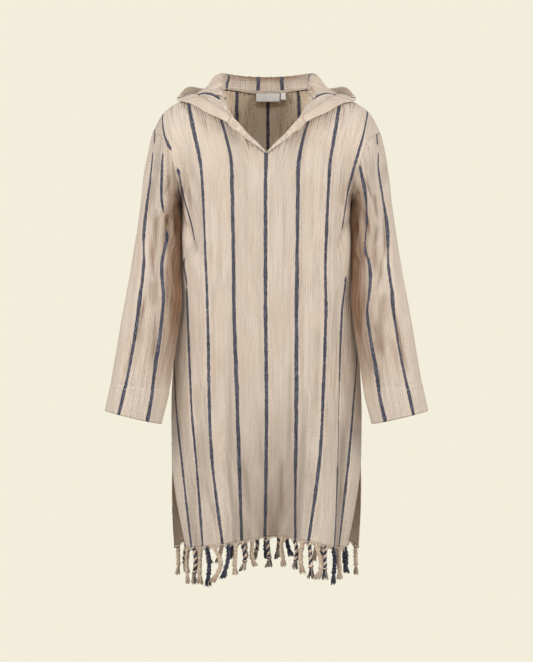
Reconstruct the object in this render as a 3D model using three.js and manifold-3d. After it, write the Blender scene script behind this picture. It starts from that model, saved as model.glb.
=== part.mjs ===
// Hooded beach tunic in crinkled cotton gauze, filled out as if worn and hollow inside.
// Millimetres, +Z up, the front faces -Y, the wearer's left side is at +X.
// Z = 0 is the level of the shoulders beside the neck, Y = 0 the side seams.
import * as THREE from 'three';
import Module from 'manifold-3d';

const wasm = await Module();
wasm.setup();
const { Manifold, Mesh: SolidMesh } = wasm;

const group = new THREE.Group();
group.name = 'beach_tunic';

// ---------------------------------------------------------------- named sizes
const CLOTH = 2.0;            // thickness of the gauze wall
const SEAM = 0.2;             // each edge stands back this far from its seam line
const LIFT = 3.6;             // middle of a layer above the middle of the one below it
const NECK_C = 0.235;         // share of the half panel that ends in the neckline
const ARMPIT_Z = -205;
const SLIT_TOP_Z = -735;
const TOP_ROWS = 10;          // rows from the shoulder line to the armpit level
const HALF_COLS = 12;         // columns in half a panel

// ---------------------------------------------------------------- small tools
const V = (x, y, z) => new THREE.Vector3(x, y, z);
const lerp = (a, b, t) => a + (b - a) * t;
const clamp = (t, a, b) => Math.min(b, Math.max(a, t));
const smooth = (t) => { const s = clamp(t, 0, 1); return s * s * (3 - 2 * s); };
const bump = (t) => Math.exp(-t * t);

// A table is a list of rows with named columns; it is read at any key by a cubic through its rows.
function table(columns, ...rows) {
  return rows.map((r) => Object.fromEntries(columns.map((c, i) => [c, r[i]])));
}
function read(rows, key, at) {
  const n = rows.length;
  const up = rows[n - 1][key] > rows[0][key] ? 1 : -1;
  let i = 0;
  while (i < n - 2 && (at - rows[i + 1][key]) * up > 0) i += 1;
  const a = rows[i], b = rows[i + 1];
  const p = rows[Math.max(0, i - 1)], q = rows[Math.min(n - 1, i + 2)];
  const h = b[key] - a[key];
  const t = clamp((at - a[key]) / h, 0, 1);
  const out = {};
  for (const k of Object.keys(a)) {
    const m0 = i > 0 ? (b[k] - p[k]) / (b[key] - p[key]) * h : b[k] - a[k];
    const m1 = i < n - 2 ? (q[k] - a[k]) / (q[key] - a[key]) * h : b[k] - a[k];
    const t2 = t * t, t3 = t2 * t;
    out[k] = (2 * t3 - 3 * t2 + 1) * a[k] + (t3 - 2 * t2 + t) * m0 + (-2 * t3 + 3 * t2) * b[k] + (t3 - t2) * m1;
  }
  return out;
}
function bezier(a, b, c, d, t) {
  const s = 1 - t;
  return V(0, 0, 0).addScaledVector(a, s * s * s).addScaledVector(b, 3 * s * s * t)
    .addScaledVector(c, 3 * s * t * t).addScaledVector(d, t * t * t);
}

// ---------------------------------------------------------------- cloth walls
// A sheet is rows of points on the middle of the cloth. Its normals point to `outward(p)`.
function normalsOf(grid, ring, outward) {
  const R = grid.length, C = grid[0].length;
  const N = grid.map((row) => row.map(() => V(0, 0, 0)));
  const add = (i, j, n) => N[i][(j + C) % C].add(n);
  const cols = ring ? C : C - 1;
  for (let i = 0; i < R - 1; i += 1) {
    for (let j = 0; j < cols; j += 1) {
      const k = (j + 1) % C;
      const d1 = grid[i + 1][k].clone().sub(grid[i][j]);
      const d2 = grid[i + 1][j].clone().sub(grid[i][k]);
      const n = d1.cross(d2);
      add(i, j, n); add(i, k, n); add(i + 1, j, n); add(i + 1, k, n);
    }
  }
  let sign = 0;
  for (let i = 0; i < R; i += 1) {
    for (let j = 0; j < C; j += 1) {
      N[i][j].normalize();
      sign += N[i][j].dot(outward(grid[i][j], i, j));
    }
  }
  if (sign < 0) N.forEach((row) => row.forEach((n) => n.negate()));
  return { N, flip: sign < 0 };
}

function sheet(name, grid, { ring = false, outward, out = CLOTH / 2, inn = CLOTH / 2 }) {
  const { N, flip } = normalsOf(grid, ring, outward);
  return { name, grid, ring, N, flip, out, inn };
}

// Moves the edge points back from the seam line, along the cloth.
function trim(piece, gaps) {
  const { grid, ring } = piece;
  const R = grid.length, C = grid[0].length;
  const pull = (i, j, ii, jj, g) => {
    const d = grid[ii][jj].clone().sub(grid[i][j]);
    return d.multiplyScalar(g / d.length());
  };
  const moves = [];
  if (gaps.top) for (let j = 0; j < C; j += 1) moves.push([0, j, pull(0, j, 1, j, gaps.top)]);
  if (gaps.bottom) for (let j = 0; j < C; j += 1) moves.push([R - 1, j, pull(R - 1, j, R - 2, j, gaps.bottom)]);
  if (gaps.sides && !ring) {
    for (let i = 0; i < R; i += 1) {
      moves.push([i, 0, pull(i, 0, i, 1, gaps.sides)]);
      moves.push([i, C - 1, pull(i, C - 1, i, C - 2, gaps.sides)]);
    }
  }
  for (const [i, j, d] of moves) grid[i][j].add(d);
}

function solidFrom(name, positions, index, colour) {
  const g = new THREE.BufferGeometry();
  g.setAttribute('position', new THREE.Float32BufferAttribute(positions, 3));
  g.setIndex(index);
  g.computeVertexNormals();
  const m = new THREE.Mesh(g, new THREE.MeshStandardMaterial({ color: colour, roughness: 0.9, name: `${name}_cloth` }));
  m.name = name;
  group.add(m);
  return m;
}

function wallData(piece) {
  const { grid, N, ring, flip } = piece;
  const R = grid.length, C = grid[0].length;
  const at = (v, i, j) => (typeof v === 'function' ? v(i, j) : v);
  const positions = [];
  for (const side of [1, -1]) {
    for (let i = 0; i < R; i += 1) {
      for (let j = 0; j < C; j += 1) {
        const t = side > 0 ? at(piece.out, i, j) : -at(piece.inn, i, j);
        const p = grid[i][j].clone().addScaledVector(N[i][j], t);
        positions.push(p.x, p.y, p.z);
      }
    }
  }
  const O = (i, j) => i * C + (j % C);
  const I = (i, j) => R * C + i * C + (j % C);
  const index = [];
  const tri = (a, b, c) => (flip ? index.push(a, b, c) : index.push(a, c, b));
  const quad = (a, b, c, d) => { tri(a, b, c); tri(a, c, d); };
  const cols = ring ? C : C - 1;
  for (let i = 0; i < R - 1; i += 1) {
    for (let j = 0; j < cols; j += 1) {
      quad(O(i, j), O(i + 1, j), O(i + 1, j + 1), O(i, j + 1));
      quad(I(i, j), I(i, j + 1), I(i + 1, j + 1), I(i + 1, j));
    }
  }
  for (let j = 0; j < cols; j += 1) {
    quad(O(0, j), O(0, j + 1), I(0, j + 1), I(0, j));
    quad(O(R - 1, j), I(R - 1, j), I(R - 1, j + 1), O(R - 1, j + 1));
  }
  if (!ring) {
    for (let i = 0; i < R - 1; i += 1) {
      quad(O(i, 0), I(i, 0), I(i + 1, 0), O(i + 1, 0));
      quad(O(i, C - 1), O(i + 1, C - 1), I(i + 1, C - 1), I(i, C - 1));
    }
  }
  return { positions, index };
}

function build(piece, colour = 0xdccbba) {
  const { positions, index } = wallData(piece);
  return solidFrom(piece.name, positions, index, colour);
}

// ---------------------------------------------------------------- body: levels and folds
// Below the armpits every level is half an oval in front and half an oval behind.
const LEVELS = table(
  ['z', 'half', 'front', 'back'],
  [-205, 173, 113, 106],
  [-300, 175, 117, 106],
  [-400, 179, 120, 106],
  [-500, 188, 123, 109],
  [-610, 194, 125, 112],
  [-735, 193, 127, 115],
  [-800, 194, 130, 117],
  [-860, 192, 133, 119],
  [-915, 189, 135, 120],
);
// The slits open from their top to the hem: the front edges draw in and forward, the back ones hang.
const SLIT_IN = 27, SLIT_FORWARD = 42, SLIT_BACK = 9;
// Depth of the hems along the panel: c is -1 at one side seam, 0 at the middle, 1 at the other.
const FRONT_HEM = table(['c', 'z'],
  [-1, -901], [-0.75, -899], [-0.5, -893], [-0.25, -885], [0, -879], [0.2, -879], [0.4, -887], [0.6, -896], [0.8, -900], [1, -905]);
const BACK_HEM = table(['c', 'z'],
  [-1, -910], [-0.6, -900], [-0.2, -884], [0.2, -884], [0.6, -900], [1, -910]);
// Soft folds of the body: x at the upper and lower end, z of both, half width, depth (in is +).
const FRONT_FOLDS = table(['x0', 'x1', 'z0', 'z1', 'width', 'depth'],
  [14, 10, -560, -1010, 58, 84],
  [-150, -128, -330, -900, 15, 8],
  [-118, -104, -520, -1000, 12, -7],
  [152, 146, -300, -1000, 15, 13],
  [116, 116, -560, -1000, 14, -8],
  [-70, -84, -420, -900, 18, -5],
  [62, 76, -420, -900, 18, -6],
  [-163, -150, -240, -560, 9, 6],
  [161, 156, -240, -520, 9, 5]);
const BACK_FOLDS = table(['x0', 'x1', 'z0', 'z1', 'width', 'depth'],
  [-8, -12, -480, -1010, 46, 44],
  [-110, -96, -380, -980, 20, 14],
  [104, 92, -420, -1000, 22, 16],
  [-150, -150, -520, -1010, 13, 10],
  [150, 148, -460, -1010, 13, 9],
  [-56, -60, -520, -1010, 20, -12],
  [50, 48, -560, -1010, 20, -13]);

function foldDepth(folds, x, z) {
  let sum = 0;
  for (const f of folds) {
    const t = clamp((f.z0 - z) / (f.z0 - f.z1), 0, 1);
    if (t <= 0 || z < f.z1 - 60) continue;
    sum += f.depth * smooth(t) * bump((x - lerp(f.x0, f.x1, t)) / f.width);
  }
  return sum;
}

// The oval of one level, as a point at c, before the folds.
function oval(c, half, depth, edge, sign) {
  const a = c * Math.PI / 2, e = 2 / 2.3;
  const s = Math.sign(Math.sin(a)) * Math.abs(Math.sin(a)) ** e;
  const k = Math.max(0, Math.cos(a)) ** e;
  return [half * s, edge + (sign * depth - edge) * k];
}
function bodyPoint(c, z, isFront) {
  const L = read(LEVELS, 'z', z);
  const s = clamp((SLIT_TOP_Z - z) / 165, 0, 1.1);
  const [x, y] = isFront
    ? oval(c, L.half - SLIT_IN * s ** 1.15, L.front, -SLIT_FORWARD * s ** 1.3, -1)
    : oval(c, L.half, L.back, SLIT_BACK * s, 1);
  const depth = foldDepth(isFront ? FRONT_FOLDS : BACK_FOLDS, x, z) * (1 - Math.abs(c) ** 8);
  return V(x, y + (isFront ? depth : -depth), z);
}

// ---------------------------------------------------------------- body: shoulders and neck
const SHOULDER = table(['x', 'z'],
  [96, 20], [125, 17.5], [155, 11], [182, -0.5], [198, -10], [214, -26], [226, -44], [234, -64]);
// Edge of the front neckline, from the point of the V to the shoulder seam.
const V_EDGE = table(['k', 'x', 'y', 'z'],
  [0, 0, -108, -114], [0.2, 36.5, -106.5, -81], [0.4, 56, -101, -58], [0.6, 76.5, -83, -31], [0.8, 91, -55, -3], [1, 96, 0, 20]);
const BACK_EDGE = table(['k', 'x', 'y', 'z'],
  [0, 0, 78, 33], [0.3, 34, 74, 33], [0.6, 68, 58, 33], [0.85, 90, 30, 30], [1, 96, 0, 20]);

function topPoint(c, isFront) {
  const a = Math.abs(c), s = Math.sign(c) || 1;
  if (a < NECK_C) {
    const e = read(isFront ? V_EDGE : BACK_EDGE, 'k', a / NECK_C);
    return V(s * e.x, e.y, e.z);
  }
  const x = lerp(96, 234, (a - NECK_C) / (1 - NECK_C));
  return V(s * x, 0, read(SHOULDER, 'x', x).z);
}
// A warp line of the upper panel: it leaves the shoulder flat, comes over the chest and hangs.
// Lines that start at the front neckline follow the same fall from where they start.
function upperPoint(c, w, isFront) {
  const f = isFront ? -1 : 1, a = Math.abs(c), s = Math.sign(c) || 1;
  const T = topPoint(c, isFront);
  const B = bodyPoint(c, ARMPIT_Z, isFront);
  const inNeck = isFront && a < NECK_C;
  const S = inNeck ? V(T.x, 0, 20) : T;
  const lean = isFront ? 0 : clamp(T.y / 78, 0, 1) * 62;
  const beta = lean * Math.PI / 180;
  const side = a ** 3;
  const len = lerp(0.36, 0.42, side) * S.distanceTo(B);
  const P1 = V(S.x + lerp(0.16 * (B.x - S.x), -s * 40, side),
    S.y + f * Math.cos(beta) * lerp(len, isFront ? 100 : 92, side), S.z - Math.sin(beta) * len);
  const under = smooth((a - 0.45) / 0.55) ** 1.5;
  const rise = lerp(0.45 * (S.z - B.z), 35, side);
  const P2 = V(B.x + s * (5 * side - 0.02 * rise * a), B.y + f * ((isFront ? -0.042 : 0) * rise * (1 - a) + (isFront ? 104 : 100) * under), B.z + rise);
  if (!inNeck) return bezier(S, P1, P2, B, w);
  let lo = 0, hi = 0.93;
  for (let i = 0; i < 24; i += 1) {
    const mid = (lo + hi) / 2;
    if (bezier(S, P1, P2, B, mid).y > T.y) lo = mid; else hi = mid;
  }
  const off = T.clone().sub(bezier(S, P1, P2, B, lo));
  return bezier(S, P1, P2, B, lerp(lo, 1, w)).addScaledVector(off, (1 - w) ** 1.6);
}

// Column positions: closer at the neck, even beyond it.
function columns() {
  const half = [];
  const inNeck = 5;
  for (let i = 0; i <= inNeck; i += 1) half.push(NECK_C * i / inNeck);
  for (let i = 1; i <= HALF_COLS - inNeck; i += 1) half.push(lerp(NECK_C, 1, i / (HALF_COLS - inNeck)));
  return [...half.slice(1).reverse().map((c) => -c), ...half];
}
const COLS = columns();
const LOW_Z = [-245, -290, -340, -395, -450, -505, -560, -615, -675, SLIT_TOP_Z, -780, -825, -865];

function panelGrid(isFront) {
  const rows = [];
  for (let i = 0; i <= TOP_ROWS; i += 1) rows.push(COLS.map((c) => upperPoint(c, i / TOP_ROWS, isFront)));
  for (const z of LOW_Z) {
    // towards the hem the rows follow the hem's own line
    rows.push(COLS.map((c) => {
      const hem = read(isFront ? FRONT_HEM : BACK_HEM, 'c', c).z;
      const share = smooth((z - SLIT_TOP_Z) / (-905 - SLIT_TOP_Z));
      return bodyPoint(c, z + (hem + 905) * share, isFront);
    }));
  }
  rows.push(COLS.map((c) => bodyPoint(c, read(isFront ? FRONT_HEM : BACK_HEM, 'c', c).z, isFront)));
  // the cloth evens itself out between the neck, the armholes and the chest
  for (let pass = 0; pass < 4; pass += 1) {
    const was = rows.map((row) => row.map((p) => p.clone()));
    for (let i = 2; i <= TOP_ROWS + 1; i += 1) {
      for (let j = 1; j < COLS.length - 1; j += 1) {
        const mean = V(0, 0, 0).add(was[i - 1][j]).add(was[i + 1][j]).add(was[i][j - 1]).add(was[i][j + 1]).multiplyScalar(0.25);
        rows[i][j].lerp(mean, 0.5 * Math.min(1, (i - 1) / 3));
      }
    }
  }
  return rows;
}

const bodyOut = (p) => V(p.x * 0.3, p.y, p.z > -60 ? 60 : 0);
const front = sheet('front', panelGrid(true), { outward: bodyOut });
const back = sheet('back', panelGrid(false), { outward: bodyOut });
const SLIT_ROW = TOP_ROWS + LOW_Z.indexOf(SLIT_TOP_Z) + 1;

// ---------------------------------------------------------------- sleeves
// Each ring goes from its outer point to its inner point (x, z), at depth y, with half depth d.
const SLEEVE = table(['t', 'ox', 'oz', 'ix', 'iz', 'y', 'd'],
  [0, 234, -64, 173, -205, 0, 78],
  [1, 240, -96, 176.3, -212, -2, 72],
  [2, 246, -140, 176.6, -221, -5, 65],
  [3, 251, -186, 177, -234, -8, 58],
  [4, 258, -236, 177.6, -256, -14, 52],
  [5, 267, -300, 177.2, -304, -28, 47],
  [6, 274, -350, 174.5, -350, -47, 45],
  [7, 281, -393, 170, -395, -61, 44],
  [8, 289, -440, 173, -444, -68, 44],
  [9, 303, -530, 186.5, -538, -75, 44],
  [10, 311, -577, 196, -592, -79, 43],
  [11, 321, -626, 211, -652, -83, 42]);
const RING_AT = [0, 0.5, 1, 1.6, 2.2, 2.8, 3.4, 4, 4.6, 5.2, 5.8, 6.4, 7, 7.6, 8.2, 8.8, 9.4, 9.8, 9.92, 10.45, 11];
const HEM_RING = 9.86;       // the cuff is turned up below this ring
const HEM_STEP = 0.9;        // how much the turned-up hem stands out
// Creases of a sleeve: ring and angle (0 outer, 90 front, 180 inner), reach along and round, slant, depth.
const SLEEVE_FOLDS = table(['t', 'angle', 'along', 'round', 'slant', 'depth'],
  [3.4, 118, 1.6, 13, -10, 9],
  [2.4, 146, 1.3, 12, -14, 8],
  [5.2, 128, 1.5, 12, 12, 8],
  [6.4, 92, 1.6, 13, 16, 7],
  [7.5, 140, 1.1, 16, 20, 9],
  [8.3, 60, 1.2, 13, -12, 5],
  [4.4, 65, 1.5, 12, 10, 4],
  [9.1, 115, 0.9, 12, 14, 5],
  [4.0, 238, 1.6, 16, 12, 8],
  [6.2, 262, 1.4, 16, -14, 7],
  [7.9, 226, 1.3, 15, 12, 7],
  [3.0, 286, 1.3, 14, -10, 5]);

const RING_N = 2 * TOP_ROWS;
function armhole(sign) {
  const j = sign > 0 ? COLS.length - 1 : 0;
  const ring = [];
  for (let i = 0; i <= TOP_ROWS; i += 1) ring.push(front.grid[i][j].clone());
  for (let i = TOP_ROWS - 1; i >= 1; i -= 1) ring.push(back.grid[i][j].clone());
  return ring;
}
function sleeveRing(t, sign, hole, foldShift) {
  const r = read(SLEEVE, 't', t);
  const first = SLEEVE[0];
  const pts = [];
  for (let k = 0; k < RING_N; k += 1) {
    const th = 2 * Math.PI * k / RING_N;
    const on = (q) => V(
      sign * ((q.ox + q.ix) / 2 + Math.cos(th) * (q.ox - q.ix) / 2), q.y - Math.sin(th) * q.d,
      (q.oz + q.iz) / 2 + Math.cos(th) * (q.oz - q.iz) / 2);
    const p = on(r);
    const fade = (1 - clamp(t / 4, 0, 1)) ** 2;
    p.addScaledVector(hole[k].clone().sub(on(first)), fade);
    const centre = V(sign * (r.ox + r.ix) / 2, r.y, (r.oz + r.iz) / 2);
    let cut = 0;
    for (const f of SLEEVE_FOLDS) {
      const dt = (t - f.t) / f.along;
      let da = (k * 360 / RING_N - f.angle - foldShift - f.slant * (t - f.t));
      da = ((da + 540) % 360) - 180;
      cut += f.depth * bump(dt) * bump(da / f.round);
    }
    cut *= smooth(t / 1.2);
    const inward = centre.sub(p);
    p.addScaledVector(inward, cut / inward.length());
    pts.push(p);
  }
  return pts;
}
function sleeve(name, sign, foldShift) {
  const hole = armhole(sign);
  const grid = RING_AT.map((t) => (t === 0 ? hole.map((p) => p.clone()) : sleeveRing(t, sign, hole, foldShift)));
  const centres = grid.map((row) => row.reduce((s, p) => s.add(p), V(0, 0, 0)).multiplyScalar(1 / row.length));
  const hemStart = RING_AT.findIndex((t) => t > HEM_RING);
  return sheet(name, grid, {
    ring: true,
    outward: (p, i) => p.clone().sub(centres[i]),
    out: (i) => CLOTH / 2 + (i >= hemStart ? HEM_STEP : 0),
  });
}
const sleeveL = sleeve('sleeve_left', 1, 0);
const sleeveR = sleeve('sleeve_right', -1, 6);

// Where pieces meet, all of them take one shared direction across the cloth.
function share(...refs) {
  const n = V(0, 0, 0);
  for (const [s, i, j] of refs) n.add(s.N[i][j]);
  n.normalize();
  for (const [s, i, j] of refs) s.N[i][j].copy(n);
}
const LAST = COLS.length - 1;
for (const [j, arm] of [[LAST, sleeveL], [0, sleeveR]]) {
  share([front, 0, j], [back, 0, j], [arm, 0, 0]);
  share([front, TOP_ROWS, j], [back, TOP_ROWS, j], [arm, 0, TOP_ROWS]);
  for (let i = 1; i < TOP_ROWS; i += 1) {
    share([front, i, j], [arm, 0, i]);
    share([back, i, j], [arm, 0, RING_N - i]);
  }
  for (let i = TOP_ROWS + 1; i <= SLIT_ROW; i += 1) share([front, i, j], [back, i, j]);
}
COLS.forEach((c, j) => { if (Math.abs(c) >= NECK_C - 1e-6 && Math.abs(c) < 1) share([front, 0, j], [back, 0, j]); });
trim(front, { top: SEAM, sides: SEAM });
trim(back, { top: SEAM, sides: SEAM });
trim(sleeveL, { top: SEAM });
trim(sleeveR, { top: SEAM });
// Under the arm the sleeve turns back on the body, so its edge stands a little further out there.
for (const [arm, sign] of [[sleeveL, 1], [sleeveR, -1]]) {
  for (let k = 0; k < RING_N; k += 1) {
    arm.grid[0][k].x += sign * 0.9 * smooth(1.4 - Math.abs(k - TOP_ROWS) / 3);
  }
}

// ---------------------------------------------------------------- what lies on the body
const BODY_SHEETS = [front, back, sleeveL, sleeveR];
function refine(piece) {
  const pts = [];
  const { grid, N } = piece;
  for (let i = 0; i < grid.length - 1; i += 1) {
    if (grid[i][0].z < -330) break;
    for (let j = 0; j < grid[0].length - 1; j += 1) {
      for (let a = 0; a < 3; a += 1) {
        for (let b = 0; b < 3; b += 1) {
          const u = a / 3, v = b / 3;
          const mix = (G) => V(0, 0, 0).addScaledVector(G[i][j], (1 - u) * (1 - v)).addScaledVector(G[i][j + 1], (1 - u) * v)
            .addScaledVector(G[i + 1][j], u * (1 - v)).addScaledVector(G[i + 1][j + 1], u * v);
          pts.push({ p: mix(grid), n: mix(N).normalize() });
        }
      }
    }
  }
  return pts;
}
const SKIN = BODY_SHEETS.flatMap(refine);
// Moves a point out of the body until it is `gap` above the nearest cloth.
function liftOff(p, gap = LIFT) {
  for (let pass = 0; pass < 3; pass += 1) {
    let best = null, bestD = Infinity;
    for (const s of SKIN) {
      const d = s.p.distanceToSquared(p);
      if (d < bestD) { bestD = d; best = s; }
    }
    const h = p.clone().sub(best.p).dot(best.n);
    if (h >= gap || bestD > 40 * 40) return p;
    p.addScaledVector(best.n, gap - h);
  }
  return p;
}

// ---------------------------------------------------------------- hood, folded back
// Each station is an upright plane through the neck's axis, at `az` degrees from the wearer's side,
// forward +. In it the cloth starts inside the neckline, rises by `up` to the roll, falls to the
// bottom b of the pouch and comes up to the opening edge e, as radius and height. `over` is how far
// the roll lies outside the neckline, roll and turn are the radii of the bends.
const HOOD = table(['az', 'inset', 'start', 'over', 'up', 'roll', 'br', 'bz', 'turn', 'er', 'ez'],
  [53, 3.6, -1, -0.5, 5.5, 2.6, 119, -47, 0.6, 127, -54],
  [44, 3.6, -1, -1, 9, 3.2, 124, -28, 0.8, 135, -42],
  [35, 3.6, -1, -1, 14, 4.5, 130, -14, 1.5, 146, -31],
  [26, 3.6, -0.5, -1, 22, 6, 135, -2, 3, 156, -17],
  [17, 3.4, 0, 0, 29, 7.5, 141, 6, 4, 166, -6],
  [7, 2.8, 0.5, 1, 34, 9, 148, 10, 6, 182, 2],
  [-6, 2.2, 1, 2, 36, 10, 152, 9, 10, 182, 18],
  [-20, 1.4, 1.6, 3, 35.5, 10, 148, -18, 13, 176, 42],
  [-36, 0.5, 1.2, 4, 35, 9, 146, -70, 14, 171, 46],
  [-53, 0, 0.8, 5, 34, 8, 143, -116, 14, 168, 46],
  [-71, 0, 0.8, 5, 33.5, 7, 142, -146, 14, 168, 46],
  [-90, 0, 0.8, 5, 33, 6, 142, -156, 13, 168, 46]);

// The neckline as radius and height at an azimuth.
const NECKLINE = [];
for (let i = 0; i <= 120; i += 1) {
  const q = topPoint(NECK_C * 0.9999 * (60 - Math.abs(i - 60)) / 60, i < 60);
  NECKLINE.push({ az: Math.atan2(-q.y, q.x) * 180 / Math.PI, r: Math.hypot(q.x, q.y), z: q.z });
}
function neckline(az) {
  let i = 0;
  while (i < NECKLINE.length - 2 && NECKLINE[i + 1].az > az) i += 1;
  const a = NECKLINE[i], b = NECKLINE[i + 1], t = clamp((az - a.az) / (b.az - a.az || 1), 0, 1);
  return { r: lerp(a.r, b.r, t), z: lerp(a.z, b.z, t) };
}
function hoodSection(az, sign) {
  const s = read([...HOOD].reverse(), 'az', az);
  const e = neckline(az);
  const rr = e.r + s.over, rz = e.z + s.up;
  const knots = [
    [e.r - s.inset, e.z + s.start],
    [e.r - s.inset - 0.2, lerp(e.z + s.start, rz, 0.35)],
    [rr - s.roll * 0.95, rz - s.roll * 0.6],
    [rr, rz],
    [rr + s.roll * 1.1, rz - s.roll * 0.5],
    [lerp(rr + s.roll, s.br - s.turn, 0.5), lerp(rz - s.roll, s.bz, 0.42)],
    [s.br - s.turn, s.bz + s.turn],
    [s.br, s.bz],
    [s.br + s.turn, s.bz + s.turn],
    [lerp(s.br + s.turn, s.er, 0.6), lerp(s.bz, s.ez, 0.5)],
    [s.er, s.ez],
  ];
  const a = az * Math.PI / 180;
  return knots.map(([r, z]) => V(sign * r * Math.cos(a), -r * Math.sin(a), z));
}
const HOOD_AT = [52.5, 47, 41, 34, 27, 20, 12, 4, -4, -12, -20, -29, -39, -51, -64, -77, -90];
const HOOD_STEPS = 22;
const FREE_STEPS = 4;         // steps of the stand, which is clear of the panels inside the neckline
// Soft creases of the hood: azimuth, place along the section (0 neck, 1 opening edge), widths, depth.
const HOOD_FOLDS = table(['az', 'v', 'wide', 'high', 'depth'],
  [-24, 0.46, 9, 0.1, 3],
  [-62, 0.75, 12, 0.12, 9],
  [-82, 0.84, 6, 0.14, -6],
  [-44, 0.66, 8, 0.14, -7],
  [-50, 0.88, 7, 0.08, 5],
  [-70, 0.10, 9, 0.06, 2]);

function spline(points, n, bunch) {
  const curve = new THREE.CatmullRomCurve3(points, false, 'centripetal');
  curve.arcLengthDivisions = 400;
  const out = [];
  for (let i = 0; i <= n; i += 1) out.push(curve.getPointAt(bunch(i / n)));
  return out;
}
function hoodGrid(sign, shift) {
  return HOOD_AT.map((az, i) => {
    const knots = hoodSection(az, sign);
    const pts = spline(knots, HOOD_STEPS, (t) => lerp(t, t * t * (3 - 2 * t) * 0.25 + t ** 1.35 * 0.75, 0.7));
    return pts.map((p, k) => {
      const v = k / HOOD_STEPS;
      let d = 0;
      for (const f of HOOD_FOLDS) d += f.depth * bump((az - f.az - shift) / f.wide) * bump((v - f.v) / f.high);
      const r = Math.hypot(p.x, p.y) || 1;
      p.x += p.x / r * -d * (i < HOOD_AT.length - 1 ? 1 : 0);
      p.y += p.y / r * -d;
      return k < FREE_STEPS ? p : liftOff(p, LIFT);
    });
  });
}
// Between its points a layer stays as clear of the body as at them.
function settle(grid, gap) {
  for (let pass = 0; pass < 3; pass += 1) {
    for (let i = 0; i < grid.length - 1; i += 1) {
      for (let k = FREE_STEPS; k < grid[0].length - 1; k += 1) {
        const four = [grid[i][k], grid[i][k + 1], grid[i + 1][k], grid[i + 1][k + 1]];
        for (const w of [[1, 1, 1, 1], [2, 2, 0, 0], [2, 0, 2, 0], [2, 0, 0, 2], [0, 2, 2, 0]]) {
          const mid = V(0, 0, 0);
          four.forEach((p, m) => mid.addScaledVector(p, w[m] / 4));
          const up = liftOff(mid.clone(), gap).sub(mid);
          if (up.lengthSq() > 1e-6) four.forEach((p, m) => { if (w[m]) p.addScaledVector(up, 1); });
        }
      }
    }
  }
}
function hood(name, sign, shift) {
  const grid = hoodGrid(sign, shift);
  settle(grid, LIFT - 0.5);
  // outward is away from the neck on the outer layer, and up on the lapel
  const piece = sheet(name, grid, {
    outward: (p, i, k) => (k > HOOD_STEPS * 0.75 ? V(p.x, p.y, 40) : V(0, 0, 0)), out: 0.9, inn: 0.9,
  });
  const last = grid.length - 1;
  for (let k = 0; k <= HOOD_STEPS; k += 1) {
    grid[last][k].x = sign * SEAM;
    piece.N[last][k].x = 0;
    piece.N[last][k].normalize();
  }
  return piece;
}
const hoodL = hood('hood_left', 1, 0);
const hoodR = hood('hood_right', -1, -4);

// Turned-out facing of the neck slit, from the point of the V to the hood seam: it wraps the edge of
// the panel. k runs along the neckline, `wide` is how far it lies out on the panel.
const FACING = table(['k', 'wide'], [0.035, 2.5], [0.15, 6], [0.3, 10.5], [0.5, 17]);
// The front neckline as it is built, straight between the warp columns.
function onEdge(c) {
  let j = 0;
  while (j < COLS.length - 2 && COLS[j + 1] < c) j += 1;
  return front.grid[0][j].clone().lerp(front.grid[0][j + 1], clamp((c - COLS[j]) / (COLS[j + 1] - COLS[j]), 0, 1));
}
const FACING_PICK = [0, 2, 4, 10, 16, HOOD_STEPS];
function facing(name, sign, hoodPiece) {
  const grid = [];
  const steps = 7;
  for (let i = 0; i < steps; i += 1) {
    const k = lerp(0.035, 0.47, i / steps);
    const c = sign * NECK_C * k;
    const q = onEdge(c);
    const along = upperPoint(c + sign * 0.004, 0, true).sub(upperPoint(c - sign * 0.004, 0, true)).normalize();
    const down = upperPoint(c, 0.03, true).sub(q);
    const n = along.clone().cross(down).normalize();
    if (n.y > 0) n.negate();
    const m = n.clone().cross(along).normalize();
    if (m.z > 0) m.negate();
    const wide = read(FACING, 'k', k).wide;
    const place = [[1.2, -3.3], [-3.2, -0.3], [-0.4, 3.5]];
    for (const t of [0.36, 0.68, 1]) place.push([wide * t, LIFT]);
    grid.push(place.map(([a, b], j) => {
      const p = q.clone().addScaledVector(m, a).addScaledVector(n, b);
      return j > 2 ? liftOff(p, LIFT + 0.4) : p;
    }));
  }
  const seam = hoodPiece.grid[0], next = hoodPiece.grid[1];
  grid.push(FACING_PICK.map((k) => seam[k].clone().add(seam[k].clone().sub(next[k]).setLength(0.6))));
  const piece = sheet(name, grid, { outward: (p, i, j) => (j > 2 ? V(0, -1, 0.2) : V(0, 0, 0)), out: 0.9, inn: 0.9 });
  FACING_PICK.forEach((k, j) => piece.N[steps][j].copy(hoodPiece.N[0][k]));
  return piece;
}
const facingL = facing('facing_left', 1, hoodL);
const facingR = facing('facing_right', -1, hoodR);

// ---------------------------------------------------------------- inside the back neck
function backNeck(c, w) {
  const p = upperPoint(c, w, false);
  const q = upperPoint(c, w + 0.02, false), r = upperPoint(c + 0.02, w, false);
  const n = q.sub(p).cross(r.sub(p)).normalize();
  if (n.y < 0) n.negate();
  return { p, n };
}
const TAPE_H = 8, TAPE_T = 0.5, TAPE_IN = 2.1, TAPE_ASIDE = 4.6;
function neckTape() {
  const grid = [];
  const cols = 22;
  for (const h of [0, 0.5, 1]) {
    const row = [];
    for (let j = 0; j <= cols; j += 1) {
      const c = lerp(-0.2, 0.2, j / cols);
      const { p } = backNeck(c, 0);
      const radial = V(p.x, p.y, 0).normalize();
      const aside = smooth(Math.abs(c) / 0.2);
      row.push(V(p.x, p.y, p.z + lerp(-4, 1.5, aside) + lerp(TAPE_H, 4, aside) * h)
        .addScaledVector(radial, -lerp(TAPE_IN, TAPE_ASIDE, aside)));
    }
    grid.push(row);
  }
  return sheet('neck_tape', grid, { outward: (p) => V(-p.x, -p.y, 0), out: TAPE_T, inn: TAPE_T });
}
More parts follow.
